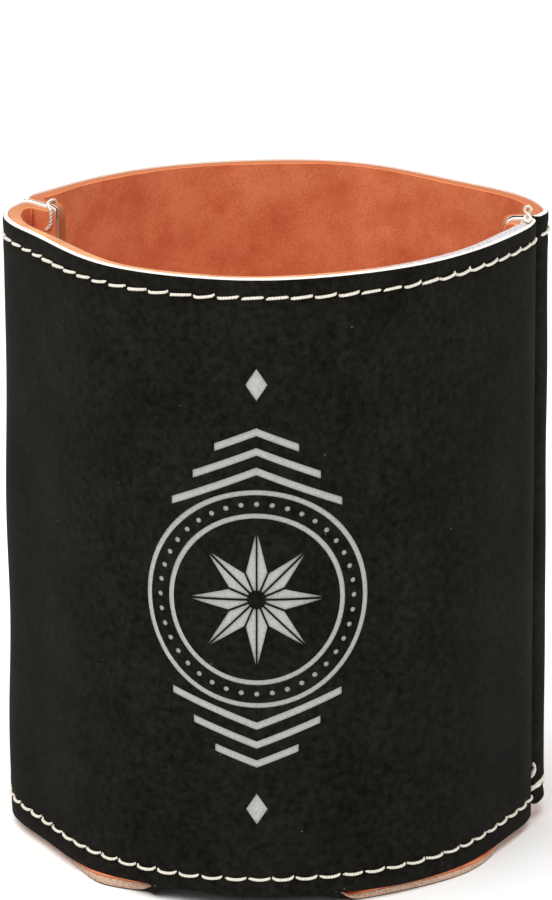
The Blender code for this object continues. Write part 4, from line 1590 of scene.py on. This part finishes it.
def stitchTree():
    tree = Tree("stitchRow", [
        ("Stitches", "NodeSocketInt", 10),
        ("Pitch", "NodeSocketFloat", stitching["pitch"]),
        ("Length Share", "NodeSocketFloat", thread["stitchShare"]),
        ("Ply Radius", "NodeSocketFloat", thread["plyRadius"]),
        ("Ply Offset", "NodeSocketFloat", thread["plyOffset"]),
        ("Twist Turns", "NodeSocketFloat", thread["twistTurns"]),
        ("Lift", "NodeSocketFloat", thread["lift"]),
        ("Plunge", "NodeSocketFloat", thread["plunge"]),
        ("Sag", "NodeSocketFloat", 0.0),
        ("Slant", "NodeSocketFloat", 0.0),
        ("Taper", "NodeSocketFloat", thread["taper"]),
        ("Side Axis", "NodeSocketVector", (0.0, 0.0, 1.0)),
        ("Seed", "NodeSocketInt", 1),
        ("Material", "NodeSocketMaterial", None),
    ])
    given, math_, vector = tree.given, tree.math, tree.vector

    # one stitch, along X, with Y away from the cloth and Z to the side
    half = math_("MULTIPLY", math_("MULTIPLY", given("Pitch"), given("Length Share")), 0.5)
    line = tree.node("GeometryNodeCurvePrimitiveLine")
    tree.feed(line, "Start", tree.joined(math_("MULTIPLY", half, -1.0), 0.0, 0.0))
    tree.feed(line, "End", tree.joined(half, 0.0, 0.0))
    fine = tree.node("GeometryNodeResampleCurve", Curve=line.outputs[0], Count=thread["segments"] + 1)
    place = tree.node("GeometryNodeInputPosition").outputs[0]
    x = tree.node("ShaderNodeSeparateXYZ", Vector=place).outputs[0]
    share = math_("DIVIDE", x, half)
    square = math_("MULTIPLY", share, share)
    eighth = math_("POWER", square, 4.0)
    rise = math_("SUBTRACT", math_("MULTIPLY", given("Lift"), math_("SUBTRACT", 1.0, square)),
                 math_("MULTIPLY", given("Plunge"), eighth))
    sag = math_("MULTIPLY", given("Sag"), math_("SUBTRACT", math_("MULTIPLY", square, 2.0), 1.0))
    side = math_("ADD", sag, math_("MULTIPLY", given("Slant"), share))
    angle = math_("MULTIPLY", math_("MULTIPLY", share, given("Twist Turns")), math.pi)
    plies = []
    circle = tree.node("GeometryNodeCurvePrimitiveCircle", Resolution=thread["sides"],
                       Radius=given("Ply Radius"))
    for start in (0.0, math.pi):
        turned = math_("ADD", angle, start)
        y = math_("ADD", rise, math_("MULTIPLY", math_("COSINE", turned), given("Ply Offset")))
        z = math_("ADD", side, math_("MULTIPLY", math_("SINE", turned), given("Ply Offset")))
        moved = tree.node("GeometryNodeSetPosition", Geometry=fine.outputs[0], Position=tree.joined(x, y, z))
        blunt = math_("SUBTRACT", 1.0, math_("MULTIPLY", eighth, thread["bluntEnds"]))
        wedge = math_("ADD", 1.0, math_("MULTIPLY", share, given("Taper")))
        narrow = tree.node("GeometryNodeSetCurveRadius", Curve=moved.outputs[0],
                           Radius=math_("MULTIPLY", blunt, wedge))
        tube = tree.node("GeometryNodeCurveToMesh", Curve=narrow.outputs[0])
        tree.feed(tube, "Profile Curve", circle.outputs[0])
        tree.feed(tube, "Fill Caps", True)
        plies.append(tube.outputs[0])
    stitch = tree.node("GeometryNodeJoinGeometry", Geometry=plies[::-1]).outputs[0]

    # one copy for each stitch on a straight line, a little uneven
    start = tree.joined(math_("MULTIPLY", given("Pitch"), 0.5), 0.0, 0.0)
    points = tree.node("GeometryNodeMeshLine", Count=given("Stitches"))
    tree.feed(points, "Start Location", start)
    tree.feed(points, "Offset", tree.joined(given("Pitch"), 0.0, 0.0))
    turn = tree.node("FunctionNodeRandomValue", {"data_type": "FLOAT"}, Seed=given("Seed"))
    tree.feed(turn, "2", -thread["tilt"])
    tree.feed(turn, "3", thread["tilt"])
    size = tree.node("FunctionNodeRandomValue", {"data_type": "FLOAT"},
                     Seed=math_("ADD", given("Seed"), 7.0))
    tree.feed(size, "2", thread["sizeRange"][0])
    tree.feed(size, "3", thread["sizeRange"][1])
    copies = tree.node("GeometryNodeInstanceOnPoints", Points=points.outputs[0], Instance=stitch)
    tree.feed(copies, "Rotation", tree.joined(
        math_("MULTIPLY", turn.outputs[1], thread["rollShare"]), turn.outputs[1],
        math_("MULTIPLY", turn.outputs[1], thread["liftShare"])))
    tree.feed(copies, "Scale", tree.joined(1.0, size.outputs[1], size.outputs[1]))
    real = tree.node("GeometryNodeRealizeInstances", Geometry=copies.outputs[0])

    # the straight row bent along the path
    spot = tree.node("ShaderNodeSeparateXYZ", Vector=tree.node("GeometryNodeInputPosition").outputs[0])
    sample = tree.node("GeometryNodeSampleCurve", {"mode": "LENGTH", "use_all_curves": True})
    tree.feed(sample, "Curves", given("Geometry"))
    tree.feed(sample, "Length", spot.outputs[0])
    axis = given("Side Axis")
    away = vector("NORMALIZE", vector("CROSS_PRODUCT", sample.outputs["Tangent"], axis))
    place = vector("ADD", sample.outputs["Position"], vector("SCALE", away, spot.outputs[1]))
    place = vector("ADD", place, vector("SCALE", axis, spot.outputs[2]))
    bent = tree.node("GeometryNodeSetPosition", Geometry=real.outputs[0], Position=place)
    smooth = tree.node("GeometryNodeSetShadeSmooth", Geometry=bent.outputs[0])
    solid = tree.node("GeometryNodeRealizeInstances", Geometry=smooth.outputs[0])
    painted = tree.node("GeometryNodeSetMaterial", Geometry=solid.outputs[0], Material=given("Material"))
    tree.feed(tree.target, "Geometry", painted.outputs[0])
    return tree.group


stitchRow = stitchTree()


def pathObject(name, points):
    curve = bpy.data.curves.new(name, "CURVE")
    curve.dimensions = "3D"
    spline = curve.splines.new("POLY")
    spline.points.add(len(points) - 1)
    spline.points.foreach_set("co", np.column_stack([points, np.ones(len(points))]).ravel())
    obj = bpy.data.objects.new(name, curve)
    bpy.context.scene.collection.objects.link(obj)
    return obj


def layStitches(name, points, node, **sizes):
    # points run from the first needle hole to the last
    path = pathObject(name + "_path", points)
    modifier = path.modifiers.new("stitches", "NODES")
    modifier.node_group = stitchRow
    inputs = [item for item in stitchRow.interface.items_tree if item.in_out == "INPUT"]
    sockets = {item.name: item.identifier for item in inputs}
    sizes["Material"] = creamThread
    for label, value in sizes.items():
        modifier[sockets[label]] = value
    bpy.context.view_layer.update()
    graph = bpy.context.evaluated_depsgraph_get()
    mesh = bpy.data.meshes.new_from_object(path.evaluated_get(graph))
    mesh.name = name
    bpy.data.objects.remove(path)
    obj = bpy.data.objects.new(name, mesh)
    bpy.context.scene.collection.objects.link(obj)
    finishPiece(obj, "thread", node)
    print(name + ":", len(mesh.polygons), "faces")


def topstitch(side, row, panel):
    holes = holesOf(side, row, panel)
    outline = panel.plan(0.0)
    fine = np.linspace(holes[0], holes[-1], 12 * len(holes))
    x = np.interp(fine, panel.along, outline[:, 0])
    y = np.interp(fine, panel.along, outline[:, 1])
    height = np.full(len(fine), stitching[row + "Height"])
    layStitches(f"{side}_{row}_stitches", np.column_stack([x, y, height]), f"{side}_{row}_stitching", **{
        "Stitches": len(holes) - 1,
        "Pitch": stitching["pitch"],
        "Sag": thread[row + "Sag"],
        "Slant": thread[row + "Slant"],
        "Side Axis": (0.0, 0.0, 1.0),
        "Seed": {"front": 3, "back": 5}[side] + {"top": 0, "bottom": 1}[row],
    })


for side, panel in (("front", frontPanel), ("back", backPanel)):
    for row in ("top", "bottom"):
        topstitch(side, row, panel)


# Threads of the side seams: rows down both allowances, and the tacks that tie the panels together

seamThread = {
    "low": 0.0078,
    "high": 0.0915,
    "setIn": 0.0034,              # from the wall's outer face
    "offset": 0.0027,             # from the slit's middle to the row
    "pitch": 0.0035,
    "step": 0.00012,
    "sides": 9,
}

# each tack: seam, name, node, (strand radius, strand offset, twist length), and its route as (out of
# the wall, sideways, height) from the seam's outer end; sideways is to the back on the right, to the
# front on the left
tacks = [
    (rightSeam, "right_rim_tack", "right_seam_stitching", (0.00014, 0.00011, 0.0010), [
        (-0.0019, -0.0001, -0.0016), (-0.0019, -0.0002, -0.0004), (-0.00186, -0.0007, 0.00030),
        (-0.00187, -0.0016, 0.00018), (-0.00142, -0.0029, 0.00016), (-0.00099, -0.0029, 0.00016),
        (-0.00095, -0.0016, 0.00018), (-0.00126, -0.0007, 0.00038), (-0.00160, -0.0002, 0.00055),
        (-0.00194, 0.0000, 0.00082), (-0.00200, 0.0002, 0.00117), (-0.00174, 0.0002, 0.00152),
        (-0.00133, 0.0002, 0.00152), (-0.00106, 0.0002, 0.00120), (-0.00118, 0.0003, 0.00078),
        (-0.00150, 0.0003, 0.00030), (-0.00170, 0.0001, -0.0006), (-0.00170, 0.0000, -0.0016),
    ]),
    (leftSeam, "left_rim_tack", "left_seam_stitching", (0.00015, 0.00012, 0.0011), [
        (-0.0043, 0.0021, -0.0033), (-0.0048, 0.0026, -0.0031), (-0.0052, 0.0029, -0.0027),
        (-0.00545, 0.0030, -0.0022), (-0.0055, 0.0030, -0.0014), (-0.0055, 0.0030, -0.0007),
        (-0.0055, 0.0029, -0.0001), (-0.0054, 0.0025, 0.00015), (-0.0053, 0.0018, 0.00022),
        (-0.0051, 0.0009, 0.00022), (-0.0047, -0.0002, 0.0002), (-0.0047, -0.0020, 0.0002),
        (-0.0047, -0.0028, -0.0003), (-0.0046, -0.0030, -0.0012), (-0.0042, -0.0029, -0.0026),
        (-0.0036, -0.0022, -0.0034),
    ]),
    (rightSeam, "right_foot_strand", "back_bottom_stitching", (0.00024, 0.00012, 0.0034), [
        (-0.00090, 0.0013, 0.0090), (-0.00030, 0.0009, 0.00912), (0.00007, 0.0005, 0.00893),
        (0.00014, 0.0006, 0.00837), (-0.00005, 0.0006, 0.00779), (-0.00037, 0.0005, 0.00726),
        (-0.00090, 0.0001, 0.00680), (-0.0018, 0.0000, 0.0066),
    ]),
    (rightSeam, "right_foot_loop", "back_bottom_stitching", (0.00029, 0.00013, 0.0042), [
        (-0.0018, 0.0000, 0.0050), (-0.0008, 0.0001, 0.0052), (0.00010, 0.0004, 0.00546),
        (0.00067, 0.0011, 0.00563), (0.00122, 0.0019, 0.00579), (0.00164, 0.0027, 0.00605),
        (0.00192, 0.0038, 0.0061), (0.0019, 0.0052, 0.0062), (0.0013, 0.0066, 0.0062),
    ]),
]


def seamRow(name, seam, direction, node):
    # up the lining of one allowance; direction 1 is the side that the seam's sideways axis points to
    outwards, across = seamAxes(seam)
    count = int((seamThread["high"] - seamThread["low"]) / seamThread["pitch"])
    flat = outwards * (float(wallRadius(seam)) - seamThread["setIn"])
    flat = flat + across * direction * seamThread["offset"]
    heights = seamThread["low"] + seamThread["pitch"] * np.linspace(0, count, 6 * count + 1)
    points = np.column_stack([np.full(len(heights), flat[0]), np.full(len(heights), flat[1]), heights])
    layStitches(name, points, node, **{
        "Stitches": count,
        "Pitch": seamThread["pitch"],
        "Lift": 0.00012,
        "Plunge": 0.0008,
        "Slant": 0.00018,
        "Side Axis": (float(outwards[0]) * direction, float(outwards[1]) * direction, 0.0),
        "Seed": 11 if direction > 0 else 13,
    })


def smoothPath(knots, step):
    # an even polyline on a smooth curve through the knots
    knots = [Vector(knot) for knot in knots]
    fine = []
    for i in range(len(knots) - 1):
        a, b = knots[i], knots[i + 1]
        before = knots[i - 1] if i > 0 else a
        after = knots[i + 2] if i + 2 < len(knots) else b
        piece = interpolate_bezier(a, a + (b - before) / 6, b - (after - a) / 6, b, 16)
        fine += piece[:-1] if i + 2 < len(knots) else piece
    fine = np.array([tuple(point) for point in fine])
    length = cumulative(fine)
    even = np.linspace(0, length[-1], max(8, round(length[-1] / step)))
    return np.column_stack([np.interp(even, length, fine[:, axis]) for axis in range(3)])


def twistedThread(name, knots, strand, node):
    # two strands twisted round a path
    radius, offset, twistLength = strand
    path = smoothPath(knots, seamThread["step"])
    tangents = np.gradient(path, axis=0)
    tangents /= np.linalg.norm(tangents, axis=1)[:, None]
    normal = np.cross(tangents[0], (0.3, 0.5, 0.8))
    normals = []
    for tangent in tangents:
        normal = normal - tangent * (normal @ tangent)
        normal = normal / np.linalg.norm(normal)
        normals.append(normal)
    normals = np.array(normals)
    others = np.cross(tangents, normals)
    along = cumulative(path)
    ends = np.minimum(along, along[-1] - along)
    taper = 0.45 + 0.55 * smoothStep(0.0, 0.0006, ends)
    sides, points, faces = seamThread["sides"], [], []
    for start in (0.0, math.pi):
        turn = start + along * 2 * math.pi / twistLength
        away = normals * np.cos(turn)[:, None] + others * np.sin(turn)[:, None]
        centre = path + away * offset
        first = len(points)
        for i in range(len(path)):
            for k in range(sides):
                angle = 2 * math.pi * k / sides
                across = normals[i] * math.cos(angle) + others[i] * math.sin(angle)
                points.append(centre[i] + across * radius * taper[i])
        for i in range(len(path) - 1):
            here, there = first + i * sides, first + (i + 1) * sides
            for k in range(sides):
                after = (k + 1) % sides
                faces.append([here + k, here + after, there + after, there + k])
        faces.append([first + k for k in reversed(range(sides))])
        faces.append([first + (len(path) - 1) * sides + k for k in range(sides)])
    mesh = bpy.data.meshes.new(name)
    mesh.from_pydata([tuple(point) for point in points], [], faces)
    mesh.materials.append(creamThread)
    mesh.shade_smooth()
    obj = bpy.data.objects.new(name, mesh)
    bpy.context.scene.collection.objects.link(obj)
    finishPiece(obj, "thread", node)


def placeTack(seam, name, node, strand, route):
    outwards, across = seamAxes(seam)
    rim = cover["height"] if node.endswith("seam_stitching") else 0.0
    start = outwards * float(wallRadius(seam))
    knots = [(*(start + outwards * out + across * side), rim + up) for out, side, up in route]
    twistedThread(name, knots, strand, node)


for seamName, seam in (("right", rightSeam), ("left", leftSeam)):
    for rowName, direction in (("first", -1), ("second", 1)):
        seamRow(f"{seamName}_seam_{rowName}_row", seam, direction, f"{seamName}_seam_stitching")
for tack in tacks:
    placeTack(*tack)
print("seam threads")
